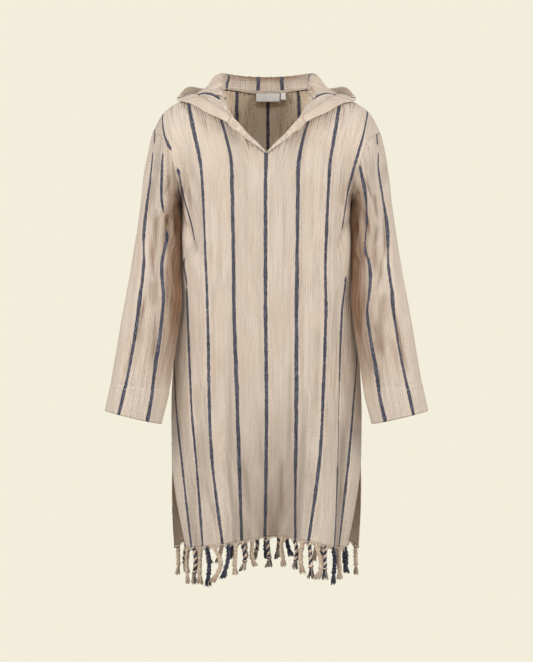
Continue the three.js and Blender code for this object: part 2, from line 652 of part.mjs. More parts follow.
// Woven labels hang from the tape: x range, height range, both left plain.
const tape = neckTape();
function onTape(x) {
  const row = tape.grid[0];
  let j = 0;
  while (j < row.length - 2 && row[j + 1].x < x) j += 1;
  const t = (x - row[j].x) / (row[j + 1].x - row[j].x);
  return { p: row[j].clone().lerp(row[j + 1], t), n: tape.N[0][j].clone().lerp(tape.N[0][j + 1], t).normalize() };
}
function label(name, x0, x1, z0, z1, thick) {
  const grid = [];
  for (const z of [z1, lerp(z0, z1, 0.5), z0]) {
    const row = [];
    for (let j = 0; j <= 3; j += 1) {
      const { p, n } = onTape(lerp(x0, x1, j / 3));
      p.addScaledVector(n, TAPE_T + 0.32 + thick);
      row.push(V(p.x, p.y - (z1 - z) * 0.02, z));
    }
    grid.push(row);
  }
  return sheet(name, grid, { outward: () => V(0, -1, 0), out: thick, inn: thick });
}

// ---------------------------------------------------------------- fringe
const STRIP_H = 3.2, STRIP_T = 0.8;
const CORD_R = 2.9;
// Tassels of the front hem: x at the root, sideways lean and bow, length.
const FRONT_TASSELS = table(['x', 'lean', 'bow', 'long'],
  [-158, -2, -3, 74], [-143, -3, 2, 74], [-131, 1, -2, 76], [-117, 2, 2, 80],
  [-101, -3, 6, 74], [-75, -11, 2, 70], [-60, -1, -2, 65], [-46, -3, 3, 60],
  [-29, 9, -3, 56], [1, 2, 2, 62], [33, 2, -3, 60], [57, -1, 2, 62],
  [71, 0, -2, 68], [84, 2, 2, 74], [100, 0, 4, 72], [117, 1, -3, 68],
  [132, 1, 3, 76], [146, 2, -2, 66], [158, 3, 2, 50]);
const BACK_TASSELS = table(['x', 'lean', 'bow', 'long'],
  [-184, -3, 2, 66], [-168, 2, -3, 70], [-146, -2, 3, 72], [-122, 2, -2, 66],
  [-98, -4, 3, 70], [-72, 2, -2, 66], [-47, 3, 2, 64], [-24, -2, 3, 66],
  [0, 2, -2, 64], [24, -3, 2, 66], [48, 3, -3, 64], [73, -2, 2, 68],
  [98, 2, 3, 66], [122, -3, -2, 70], [146, 2, 2, 66], [168, -2, -3, 72], [184, 3, 2, 66]);

// A point and the outward direction on a hem at x.
function hemAt(piece, x) {
  const row = piece.grid[piece.grid.length - 1], N = piece.N[piece.grid.length - 1];
  for (let j = 0; j < row.length - 1; j += 1) {
    if (x >= row[j].x && x <= row[j + 1].x) {
      const t = (x - row[j].x) / (row[j + 1].x - row[j].x);
      return { p: row[j].clone().lerp(row[j + 1], t), n: N[j].clone().lerp(N[j + 1], t).setZ(0).normalize() };
    }
  }
  const j = x < 0 ? 0 : row.length - 1;
  return { p: row[j].clone(), n: N[j].clone().setZ(0).normalize() };
}
// A closed body from its points and triangles, turned so that its faces look outwards.
function manifoldOf(pos, idx) {
  let volume = 0;
  const at = (i) => V(pos[3 * i], pos[3 * i + 1], pos[3 * i + 2]);
  for (let i = 0; i < idx.length; i += 3) volume += at(idx[i]).dot(at(idx[i + 1]).cross(at(idx[i + 2])));
  const tris = [];
  for (let i = 0; i < idx.length; i += 3) tris.push(idx[i], ...(volume < 0 ? [idx[i + 2], idx[i + 1]] : [idx[i + 1], idx[i + 2]]));
  return new Manifold(new SolidMesh({ numProp: 3, vertProperties: new Float32Array(pos), triVerts: new Uint32Array(tris) }));
}
// A closed tube through rings of `sides` points.
function tubeSolid(rings) {
  const sides = rings[0].length;
  const pos = [], idx = [];
  rings.forEach((r) => r.forEach((p) => pos.push(p.x, p.y, p.z)));
  for (let i = 0; i < rings.length - 1; i += 1) {
    for (let k = 0; k < sides; k += 1) {
      const a = i * sides + k, b = i * sides + (k + 1) % sides, c = a + sides, d = b + sides;
      idx.push(a, c, b, b, c, d);
    }
  }
  for (let k = 1; k < sides - 1; k += 1) {
    idx.push(0, k, k + 1);
    const o = (rings.length - 1) * sides;
    idx.push(o, o + k + 1, o + k);
  }
  return manifoldOf(pos, idx);
}
// One tassel: a twisted cord of four sides with a knot, then three locks that spread below it.
const CORD = table(['s', 'r'], [0, 0.85], [0.2, 1], [0.42, 1], [0.6, 0.95], [0.68, 1.5], [0.77, 1.2]);
function tassel(root, n, row, turnSign) {
  const side = V(-n.y, n.x, 0);
  if (side.x < 0) side.negate();
  const at = (s) => root.clone().addScaledVector(side, row.lean * s + row.bow * Math.sin(Math.PI * s))
    .add(V(0, 0, -row.long * s));
  const rings = CORD.map(({ s, r }, i) => {
    const p = at(s), tw = turnSign * i * 0.7;
    return [0, 1, 2, 3].map((k) => {
      const a = tw + k * Math.PI / 2;
      return p.clone().addScaledVector(side, Math.cos(a) * CORD_R * r).addScaledVector(n, Math.sin(a) * CORD_R * r);
    });
  });
  let solid = tubeSolid(rings);
  for (const b of [-1, 1]) {
    const lock = [0.74, 1 - 0.02 * (b + 1)].map((s, i) => {
      const p = at(s).addScaledVector(side, b * [0.9, 2.6][i]).addScaledVector(n, b * turnSign * [0.3, 1][i]);
      const rr = [1.6, 1.9][i];
      return [0, 1, 2].map((k) => {
        const a = k * 2 * Math.PI / 3 + b;
        return p.clone().addScaledVector(side, Math.cos(a) * rr).addScaledVector(n, Math.sin(a) * rr);
      });
    });
    solid = solid.add(tubeSolid(lock));
  }
  return solid;
}
function fringe(name, panel, rows) {
  const last = panel.grid.length - 1;
  const base = panel.grid[last];
  const grid = [0.35, 0.35 + STRIP_H].map((down) => base.map((p, j) => {
    const inset = j === 0 ? 1 : j === base.length - 1 ? -1 : 0;
    return V(p.x + inset, p.y, p.z - down);
  }));
  const strip = sheet(name, grid, { outward: (p) => V(p.x * 0.2, p.y + (name === 'front_fringe' ? 30 : -30), 0), out: STRIP_T, inn: STRIP_T });
  strip.N.forEach((row) => row.forEach((n) => n.setZ(0).normalize()));
  const { positions, index } = wallData(strip);
  let solid = manifoldOf(positions, index);
  rows.forEach((row, i) => {
    const { p, n } = hemAt(panel, row.x);
    const root = V(p.x, p.y, p.z - 0.35 - 0.7);
    solid = solid.add(tassel(root, n, row, i % 2 ? 1 : -1));
  });
  const m = solid.getMesh();
  const out = [];
  for (let i = 0; i < m.numVert; i += 1) out.push(m.vertProperties[i * m.numProp], m.vertProperties[i * m.numProp + 1], m.vertProperties[i * m.numProp + 2]);
  return solidFrom(name, out, Array.from(m.triVerts), 0xcdbba8);
}

// ---------------------------------------------------------------- assembly
build(front);
build(back, 0xd8c7b6);
build(sleeveL, 0xd9c8b6);
build(sleeveR, 0xd9c8b6);
build(hoodL, 0xdecdbc);
build(hoodR, 0xdecdbc);
build(facingL, 0xdfcebd);
build(facingR, 0xdfcebd);
build(tape, 0xd3c1ae);
build(label('label', -22, 28, 13.5, 30.5, 0.45), 0xe6e2dc);
build(label('size_tab', 30.4, 41, 17, 31.5, 0.4), 0xe8e4de);
fringe('front_fringe', front, FRONT_TASSELS);
fringe('back_fringe', back, BACK_TASSELS);

export default group;
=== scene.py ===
"""Hooded beach tunic of crinkled cotton gauze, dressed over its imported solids.

Sizes are millimetres until a mesh is made. +Z is up, the front faces -Y, the wearer's left is +X,
z = 0 is the level of the shoulders beside the neck and y = 0 the side seams.
"""
from __future__ import annotations

import logging
import math
from dataclasses import dataclass, field, replace
from enum import Enum
from typing import Iterable, Sequence

import bpy
import numpy as np
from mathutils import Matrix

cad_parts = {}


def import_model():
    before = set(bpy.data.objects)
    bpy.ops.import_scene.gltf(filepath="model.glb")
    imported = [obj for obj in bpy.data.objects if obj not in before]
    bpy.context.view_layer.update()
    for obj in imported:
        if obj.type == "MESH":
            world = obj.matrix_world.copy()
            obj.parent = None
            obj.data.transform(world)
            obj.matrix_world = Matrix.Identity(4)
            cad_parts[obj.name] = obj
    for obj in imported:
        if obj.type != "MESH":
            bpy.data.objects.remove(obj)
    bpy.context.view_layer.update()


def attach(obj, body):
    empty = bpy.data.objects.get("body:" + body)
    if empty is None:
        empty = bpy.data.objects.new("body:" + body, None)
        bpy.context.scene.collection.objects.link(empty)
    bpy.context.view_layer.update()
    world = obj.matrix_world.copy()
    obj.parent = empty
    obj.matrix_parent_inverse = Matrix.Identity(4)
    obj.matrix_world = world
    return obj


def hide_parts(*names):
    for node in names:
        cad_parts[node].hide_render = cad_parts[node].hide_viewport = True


LOG = logging.getLogger("beach_tunic")
Array = np.ndarray
MM = 0.001

# Driving sizes of the garment, in millimetres.
NECK_SHARE = 0.235        # share of half a panel that ends in the neckline
ARMPIT_Z = -205.0
SLIT_TOP_Z = -735.0
HEM_Z = -905.0
SHOULDER_RISE = 20.0      # height of the shoulder seam beside the neck
NECK_HALF = 96.0          # half width of the neck opening
SHOULDER_HALF = 234.0     # half width at the armhole seams
PITCH = 66.0              # from one warp stripe to the next
SHELL = 1.4               # thickness of the gauze as it is shown
LAYER = 3.0               # middle of a layer above the middle of the one below it


# ---------------------------------------------------------------- small maths
def lerp(a: Array | float, b: Array | float, t: Array | float) -> Array | float:
    """Straight mix of a and b."""
    return a + (b - a) * t


def smooth(t: Array | float) -> Array:
    """Soft step: 0 below 0, 1 above 1, three t squared minus two t cubed between."""
    s = np.clip(t, 0.0, 1.0)
    return s * s * (3.0 - 2.0 * s)


def bump(t: Array | float) -> Array:
    """Bell of height 1: e to the minus t squared."""
    return np.exp(-np.square(t))


def vec(x: Array | float, y: Array | float, z: Array | float) -> Array:
    """Stacks three coordinates into points."""
    return np.stack(np.broadcast_arrays(*(np.asarray(v, float) for v in (x, y, z))), axis=-1)


def unit(v: Array) -> Array:
    """Vectors scaled to length 1."""
    return v / np.maximum(np.linalg.norm(v, axis=-1, keepdims=True), 1e-9)


@dataclass(frozen=True)
class Table:
    """Rows with named columns; the first column is the key."""

    columns: str
    rows: tuple[tuple[float, ...], ...]

    def at(self, key: Array | float) -> dict[str, Array]:
        """Reads every column at a key by a cubic through the rows.

        Args:
            key: places to read at; beyond the ends the end row holds.

        Returns:
            One array for each column name, shaped like the key.
        """
        data = np.array(sorted(self.rows), float)
        keys = data[:, 0]
        slope = np.empty_like(data)
        slope[1:-1] = (data[2:] - data[:-2]) / (keys[2:] - keys[:-2])[:, None]
        slope[0] = (data[1] - data[0]) / (keys[1] - keys[0])
        slope[-1] = (data[-1] - data[-2]) / (keys[-1] - keys[-2])
        x = np.clip(np.asarray(key, float), keys[0], keys[-1])
        i = np.clip(np.searchsorted(keys, x, side="right") - 1, 0, len(keys) - 2)
        h = (keys[i + 1] - keys[i])[..., None]
        t = (x - keys[i])[..., None] / h
        a, b = data[i], data[i + 1]
        t2, t3 = t * t, t * t * t
        out = ((2 * t3 - 3 * t2 + 1) * a + (t3 - 2 * t2 + t) * h * slope[i]
               + (3 * t2 - 2 * t3) * b + (t3 - t2) * h * slope[i + 1])
        return {name: out[..., n] for n, name in enumerate(self.columns.split())}

    def records(self) -> list[dict[str, float]]:
        """The rows as dictionaries, in the order written."""
        names = self.columns.split()
        return [dict(zip(names, row)) for row in self.rows]


def bezier(a: Array, b: Array, c: Array, d: Array, t: Array) -> Array:
    """Cubic Bezier curve from a to d, drawn towards b and c on the way."""
    t = np.asarray(t, float)[..., None]
    s = 1.0 - t
    return a * s ** 3 + b * 3 * s * s * t + c * 3 * s * t * t + d * t ** 3


def through(points: Array, at: Array, closed: bool = False) -> Array:
    """Catmull-Rom curve through the points of axis 0.

    Args:
        points: the points, with any further axes carried along.
        at: places on the curve, counted in points from 0.
        closed: whether the last point is followed by the first.

    Returns:
        The curve's points at those places.
    """
    n = len(points)
    if closed:
        i = np.floor(at).astype(int)
        pick = [points[(i + k) % n] for k in (-1, 0, 1, 2)]
    else:
        i = np.clip(np.floor(at).astype(int), 0, n - 2)
        ends = (2 * points[:1] - points[1:2], points, 2 * points[-1:] - points[-2:-1])
        padded = np.concatenate(ends)
        pick = [padded[i + k] for k in (0, 1, 2, 3)]
    p0, p1, p2, p3 = pick
    t = (at - i).reshape((-1,) + (1,) * (points.ndim - 1))
    return 0.5 * (2 * p1 + (p2 - p0) * t + (2 * p0 - 5 * p1 + 4 * p2 - p3) * t ** 2
                  + (3 * p1 - p0 - 3 * p2 + p3) * t ** 3)


def arc(points: Array, axis: int = 0) -> Array:
    """Length along the points of an axis, 0 at its start."""
    step = np.linalg.norm(np.diff(points, axis=axis), axis=-1)
    first = np.zeros_like(np.take(step, [0], axis=axis))
    return np.concatenate((first, np.cumsum(step, axis=axis)), axis=axis)


def across_warp(points: Array, closed: bool = False) -> Array:
    """Length along each row, counted at right angles to the warp, 0 at the row's start.

    Each step loses its share along the warp's direction, so a stripe keeps its width on slanting rows.

    Args:
        points: a sheet whose columns run along the warp.
        closed: whether the last column is followed by the first; it is then repeated at the end.

    Returns:
        The lengths, one column more than the sheet has where it is closed.
    """
    warp = unit(np.gradient(points, axis=0))
    if closed:
        points, warp = (np.concatenate((grid, grid[:, :1]), axis=1) for grid in (points, warp))
    step, way = np.diff(points, axis=1), unit(warp[:, 1:] + warp[:, :-1])
    step = step - way * (step * way).sum(axis=-1, keepdims=True)
    length = np.cumsum(np.linalg.norm(step, axis=-1), axis=1)
    return np.concatenate((np.zeros_like(length[:, :1]), length), axis=1)


def pinned(length: Array, pins: Array, values: Array) -> Array:
    """A curve of slope 1 at every pin: cubics between the pins, straight beyond them.

    Args:
        length: places to read at.
        pins: places of the pins, rising.
        values: what the curve reads at the pins.

    Returns:
        The curve at the places.
    """
    i = np.clip(np.searchsorted(pins, length) - 1, 0, len(pins) - 2)
    h = np.maximum(pins[i + 1] - pins[i], 1e-6)
    t = np.clip((length - pins[i]) / h, 0, 1)
    a, b, t2, t3 = values[i], values[i + 1], t * t, t * t * t
    curve = (2 * t3 - 3 * t2 + 1) * a + (3 * t2 - 2 * t3) * b + (t3 - 2 * t2 + t + t3 - t2) * h
    return curve + np.minimum(0, length - pins[0]) + np.maximum(0, length - pins[-1])


def blur(grid: Array, reach: int, axis: int, closed: bool) -> Array:
    """Mean over reach neighbours to each side along an axis."""
    pad = [(0, 0)] * grid.ndim
    pad[axis] = (reach + 1, reach)
    total = np.cumsum(np.pad(grid, pad, mode="wrap" if closed else "edge"), axis=axis)
    n = grid.shape[axis]
    high = np.take(total, np.arange(n) + 2 * reach + 1, axis=axis)
    return (high - np.take(total, np.arange(n), axis=axis)) / (2 * reach + 1)


def evenly(points: Array, count: int) -> Array:
    """Places, counted in points, that cut a curve into even lengths."""
    along = arc(points)
    return np.interp(np.linspace(0, along[-1], count), along, np.arange(len(points)))


def refine(grid: Array, rows: Array, columns: Array) -> Array:
    """A finer grid through a coarse one, at the places given in rows and columns."""
    return through(through(grid, rows).swapaxes(0, 1), columns).swapaxes(0, 1)


def spline(knots: Array, at: Array) -> Array:
    """Centripetal Catmull-Rom curves through knots, read by even length.

    Each stretch is a cubic whose end slopes come from its neighbours, weighted by the square roots
    of the knots' distances.

    Args:
        knots: curves x knots x 3.
        at: shares of each curve's length, from 0 to 1.

    Returns:
        Curves x len(at) x 3.
    """
    before, after = 2 * knots[:, :1] - knots[:, 1:2], 2 * knots[:, -1:] - knots[:, -2:-1]
    padded = np.concatenate((before, knots, after), axis=1)
    gap = np.linalg.norm(np.diff(padded, axis=1), axis=-1, keepdims=True) ** 0.5
    x0, x1, x2, x3 = (padded[:, k:k + knots.shape[1] - 1, None] for k in range(4))
    d0, d1, d2 = (gap[:, k:k + knots.shape[1] - 1, None] for k in range(3))
    m1 = ((x1 - x0) / d0 - (x2 - x0) / (d0 + d1) + (x2 - x1) / d1) * d1
    m2 = ((x2 - x1) / d1 - (x3 - x1) / (d1 + d2) + (x3 - x2) / d2) * d1
    t = np.linspace(0, 1, 40, endpoint=False)[None, None, :, None]
    dense = ((2 * t ** 3 - 3 * t ** 2 + 1) * x1 + (t ** 3 - 2 * t ** 2 + t) * m1
             + (3 * t ** 2 - 2 * t ** 3) * x2 + (t ** 3 - t ** 2) * m2)
    dense = np.concatenate((dense.reshape(len(knots), -1, 3), knots[:, -1:]), axis=1)
    along = arc(dense, axis=1)
    return np.stack([
        np.stack([np.interp(at * length[-1], length, line[:, k]) for k in range(3)], axis=-1)
        for line, length in zip(dense, along)])


def ripple(across: Array, along: Array, waves: Sequence[tuple[float, float]], seed: int) -> Array:
    """Crinkle of the gauze: sines across the cloth that drift and swell along it.

    Args:
        across: place across the cloth.
        along: place along the cloth.
        waves: length and height of each wave.
        seed: start of the random phases.

    Returns:
        The height over the plain cloth.
    """
    rng = np.random.default_rng(seed)
    total = np.zeros(np.broadcast(across, along).shape)
    for length, height in waves:
        p = rng.uniform(0, 2 * math.pi, 5)
        drift = 1.3 * np.sin(along / 171 + p[1]) + 0.8 * np.sin(along / 63 + p[2] + across / 150)
        slow = np.sin(along / 117 + across / 71 + p[3])
        swell = 0.55 + 0.45 * slow * np.sin(along / 49 - across / 37 + p[4])
        total = total + height * swell * np.sin(2 * math.pi * across / length + drift + p[0])
    return total


def creases(table: Table, x: Array, z: Array) -> Array:
    """Depth of listed creases, each a bell across a straight line that tapers to its ends.

    Args:
        table: columns x0 z0 x1 z1 width depth; a depth below 0 is a ridge.
        x: place across.
        z: place along.

    Returns:
        How far the cloth sinks in.
    """
    total = np.zeros(np.broadcast(x, z).shape)
    for c in table.records():
        dx, dz = c["x1"] - c["x0"], c["z1"] - c["z0"]
        t = ((x - c["x0"]) * dx + (z - c["z0"]) * dz) / (dx * dx + dz * dz)
        inside = np.clip(t, 0.0, 1.0)
        away = np.hypot(x - c["x0"] - dx * inside, z - c["z0"] - dz * inside)
        bend = 0.35 * c["width"] * np.sin(3.0 * t + c["x0"])
        taper = smooth(np.clip(t, 0, 1) * 3.2) * smooth((1 - np.clip(t, 0, 1)) * 2.2)
        total = total + c["depth"] * taper * bump((away + bend * np.sign(dz)) / c["width"])
    return total


# ---------------------------------------------------------------- surfaces and meshes
@dataclass
class Surface:
    """A sheet of points: rows run along the cloth, columns across it."""

    points: Array
    uv: Array
    outward: Array
    closed: bool = False
    marks: dict[str, Array] = field(default_factory=dict)

    def normals(self) -> Array:
        """Unit directions out of the cloth, from the differences along rows and columns."""
        p = self.points
        if self.closed:
            across = np.roll(p, -1, axis=1) - np.roll(p, 1, axis=1)
        else:
            across = np.gradient(p, axis=1)
        n = unit(np.cross(across, np.gradient(p, axis=0)))
        return n if self.faces_out(n) else -n

    def faces_out(self, normals: Array) -> bool:
        """Whether the directions point to the outward side."""
        return float(np.sum(normals * self.outward)) > 0

    def push(self, amount: Array | float) -> "Surface":
        """Moves the cloth out along its normals by amount; returns itself."""
        self.points = self.points + self.normals() * np.asarray(amount)[..., None]
        return self

    def hollows(self, reach: tuple[int, int], deep: float) -> Array:
        """How far each point lies under the mean of its neighbours, from 0 to 1 at a depth; used as painted
        shade in the cloth's hollows.
        """
        mean = blur(blur(self.points, reach[0], 0, False), reach[1], 1, self.closed)
        return np.clip(((mean - self.points) * self.normals()).sum(axis=-1) / deep, 0, 1)

    def area(self) -> float:
        """Area of one side in square metres."""
        p = self.points if not self.closed else np.concatenate((self.points, self.points[:, :1]), axis=1)
        d1, d2 = p[1:, 1:] - p[:-1, :-1], p[1:, :-1] - p[:-1, 1:]
        return float(np.linalg.norm(np.cross(d1, d2), axis=-1).sum() / 2 * MM * MM)

    def build(self, name: str, material: bpy.types.Material, thickness: float = SHELL,
              lining: bpy.types.Material | None = None) -> bpy.types.Object:
        """Makes the mesh object of the sheet.

        Args:
            name: object name.
            material: its finish.
            thickness: wall thickness in millimetres, 0 for none.
            lining: finish of the inner face, where it differs, such as the panels' lighter painted inside.

        Returns:
            The object, at the origin.
        """
        rows, cols = self.points.shape[:2]
        i, j = np.meshgrid(np.arange(rows - 1), np.arange(cols if self.closed else cols - 1), indexing="ij")
        corners = [(i, j), (i + 1, j), (i + 1, j + 1), (i, j + 1)]
        across = np.roll(self.points, -1, axis=1) - self.points
        if self.faces_out(np.cross(np.gradient(self.points, axis=0), across)):
            pass
        else:
            corners.reverse()
        quads = np.stack([a * cols + b % cols for a, b in corners], axis=-1).reshape(-1, 4)
        uv = np.stack([self.uv[a, b] for a, b in corners], axis=2).reshape(-1, 2)
        mesh = bpy.data.meshes.new(name)
        mesh.from_pydata((self.points.reshape(-1, 3) * MM).tolist(), [], quads.tolist())
        mesh.uv_layers.new(name="cloth").data.foreach_set("uv", uv.astype(np.float32).ravel())
        for label, values in self.marks.items():
            mark = mesh.attributes.new(label, "FLOAT", "POINT")
            mark.data.foreach_set("value", np.broadcast_to(values, (rows, cols)).astype(np.float32).ravel())
        piece = link_mesh(name, mesh, material)
        if thickness > 0:
            wall = piece.modifiers.new("wall", "SOLIDIFY")
            wall.thickness = thickness * MM
            wall.offset = 0.0
            wall.use_rim = True
            if lining:
                piece.data.materials.append(lining)
                wall.material_offset = 1
        return piece


def link_mesh(name: str, mesh: bpy.types.Mesh, material: bpy.types.Material) -> bpy.types.Object:
    """Puts a mesh into the scene with smooth faces and one finish."""
    mesh.update(calc_edges=True)
    mesh.polygons.foreach_set("use_smooth", np.ones(len(mesh.polygons), bool))
    mesh.materials.append(material)
    piece = bpy.data.objects.new(name, mesh)
    bpy.context.scene.collection.objects.link(piece)
    return piece


@dataclass
class Bundle:
    """Many small tubes gathered into one mesh, each with its own dye."""

    points: list[Array] = field(default_factory=list)
    faces: list[Array] = field(default_factory=list)
    dye: list[Array] = field(default_factory=list)
    uv: list[Array] = field(default_factory=list)
    count: int = 0

    def tube(self, path: Array, radius: Array | float, sides: int, dye: float, flat: float = 1.0) -> None:
        """Adds a round tube along a path.

        Args:
            path: points of the middle line.
            radius: radius at each point.
            sides: corners of a ring.
            dye: 0 for undyed yarn, 1 for indigo.
            flat: thickness of the tube as a share of its width.
        """
        rings = len(path)
        way = unit(np.gradient(path, axis=0))
        side = unit(np.cross(way, (0.0, 1.0, 0.03)))
        up = np.cross(side, way)
        angle = np.arange(sides) * 2 * math.pi / sides
        r = np.broadcast_to(np.asarray(radius, float), (rings,))[:, None, None]
        cosine, sine = np.cos(angle)[None, :, None], np.sin(angle)[None, :, None]
        ring = side[:, None] * cosine + up[:, None] * sine * flat
        pts = path[:, None] + ring * r
        i, k = np.meshgrid(np.arange(rings - 1), np.arange(sides), indexing="ij")
        a, b = i * sides + k, i * sides + (k + 1) % sides
        quads = np.stack((a, b, b + sides, a + sides), axis=-1).reshape(-1, 4)
        along = arc(path) * MM
        uv = np.stack(np.broadcast_arrays(angle[None] / 6.2832 * 0.01, along[:, None]), axis=-1)
        self.points.append(pts.reshape(-1, 3))
        self.faces.append(quads + self.count)
        self.dye.append(np.full(rings * sides, dye))
        self.uv.append(uv.reshape(-1, 2))
        self.count += rings * sides

    def build(self, name: str, material: bpy.types.Material) -> bpy.types.Object:
        """Makes the mesh object of all the tubes."""
        quads = np.concatenate(self.faces)
        mesh = bpy.data.meshes.new(name)
        mesh.from_pydata((np.concatenate(self.points) * MM).tolist(), [], quads.tolist())
        uv = np.concatenate(self.uv)[quads.ravel()]
        mesh.uv_layers.new(name="cloth").data.foreach_set("uv", uv.astype(np.float32).ravel())
        dye = mesh.attributes.new("dye", "FLOAT", "POINT")
        dye.data.foreach_set("value", np.concatenate(self.dye).astype(np.float32))
        return link_mesh(name, mesh, material)


def stitches(bundle: Bundle, line: Array, out: Array, length: float = 3.0, gap: float = 1.6,
             width: float = 0.3, dye: float = 0.0) -> None:
    """Adds a row of short stitches along a line on the cloth.

    Args:
        bundle: gathers the tubes.
        line: points of the seam on the cloth's outer face.
        out: directions out of the cloth at those points.
        length: length of a stitch.
        gap: space between stitches.
        width: radius of the thread.
        dye: dye of the thread.
    """
    along = arc(line)
    starts = np.arange(gap, along[-1] - length, length + gap)
    share = np.array([0.0, 0.25, 0.75, 1.0])
    sink = np.array([-0.6, 0.15, 0.15, -0.6]) * width
    for start in starts:
        at = start + share * length
        p = np.stack([np.interp(at, along, line[:, k]) for k in range(3)], axis=-1)
        n = np.stack([np.interp(at, along, out[:, k]) for k in range(3)], axis=-1)
        bundle.tube(p + unit(n) * sink[:, None], width * np.array([0.4, 1, 1, 0.4]), 4, dye)


# ---------------------------------------------------------------- finishes
def srgb(red: int, green: int, blue: int) -> tuple[float, float, float, float]:
    """A screen colour of 0 to 255 as linear light."""
    def lin(v: float) -> float:
        """One channel: v/12.92 in the dark, a power of 2.4 above."""
        return v / 12.92 if v <= 0.04045 else ((v + 0.055) / 1.055) ** 2.4
    return lin(red / 255), lin(green / 255), lin(blue / 255), 1.0


class Graph:
    """Adds nodes to a tree and joins them."""

    def __init__(self, tree: bpy.types.NodeTree) -> None:
        """Keeps the tree and empties it."""
        self.tree = tree
        tree.nodes.clear()

    def add(self, kind: str, **settings: object) -> bpy.types.Node:
        """Adds a node and sets its properties."""
        node = self.tree.nodes.new(kind)
        for key, value in settings.items():
            setattr(node, key, value)
        return node

    def feed(self, socket: bpy.types.NodeSocket, value: object) -> None:
        """Joins a socket to another, or sets its constant."""
        if isinstance(value, bpy.types.NodeSocket):
            self.tree.links.new(value, socket)
        else:
            socket.default_value = value

    def math(self, operation: str, *values: object, clamp: bool = False) -> bpy.types.NodeSocket:
        """A Math node of the given operation on up to three values."""
        node = self.add("ShaderNodeMath", operation=operation, use_clamp=clamp)
        for socket, value in zip(node.inputs, values):
            self.feed(socket, value)
        return node.outputs[0]

    def ramp(self, value: object, low: float, high: float,
             to: tuple[float, float] = (0.0, 1.0)) -> bpy.types.NodeSocket:
        """A soft step from low to high, put between the two numbers of to."""
        node = self.add("ShaderNodeMapRange", interpolation_type="SMOOTHSTEP")
        for name, item in zip(("Value", "From Min", "From Max", "To Min", "To Max"), (value, low, high, *to)):
            self.feed(node.inputs[name], item)
        return node.outputs["Result"]

    def noise(self, u: object, v: object, w: object = 0.0, detail: float = 2.0, rough: float = 0.5,
              warp: float = 0.0) -> bpy.types.NodeSocket:
        """Noise of one unit, read at (u, v, w)."""
        place = self.add("ShaderNodeCombineXYZ")
        for socket, value in zip(place.inputs, (u, v, w)):
            self.feed(socket, value)
        node = self.add("ShaderNodeTexNoise", noise_dimensions="3D")
        self.feed(node.inputs["Vector"], place.outputs[0])
        for name, value in (("Scale", 1.0), ("Detail", detail), ("Roughness", rough), ("Distortion", warp)):
            node.inputs[name].default_value = value
        return node.outputs["Fac"]

    def mix(self, factor: object, a: object, b: object) -> bpy.types.NodeSocket:
        """A colour between a and b."""
        node = self.add("ShaderNodeMix", data_type="RGBA")
        colours = [s for s in node.inputs if s.type == "RGBA"]
        self.feed(node.inputs[0], factor)
        self.feed(colours[0], a)
        self.feed(colours[1], b)
        return next(s for s in node.outputs if s.type == "RGBA")

    def group(self, tree: bpy.types.NodeTree, **inputs: object) -> bpy.types.Node:
        """Places a shared group and feeds its inputs."""
        node = self.add("ShaderNodeGroup", node_tree=tree)
        for name, value in inputs.items():
            self.feed(node.inputs[name.replace("_", " ")], value)
        return node


def new_group(name: str, inputs: dict[str, str],
              outputs: dict[str, str]) -> tuple[Graph, dict[str, bpy.types.NodeSocket], bpy.types.Node]:
    """Starts a shader node group.

    Args:
        name: its name.
        inputs: socket names with their kinds.
        outputs: socket names with their kinds.

    Returns:
        The group's graph, its input values by name and its output node.
    """
    tree = bpy.data.node_groups.new(name, "ShaderNodeTree")
    for side, sockets in (("INPUT", inputs), ("OUTPUT", outputs)):
        for label, kind in sockets.items():
            tree.interface.new_socket(name=label, in_out=side, socket_type="NodeSocket" + kind)
    graph = Graph(tree)
    start = graph.add("NodeGroupInput")
    end = graph.add("NodeGroupOutput")
    return graph, {s.name: s for s in start.outputs if s.name}, end


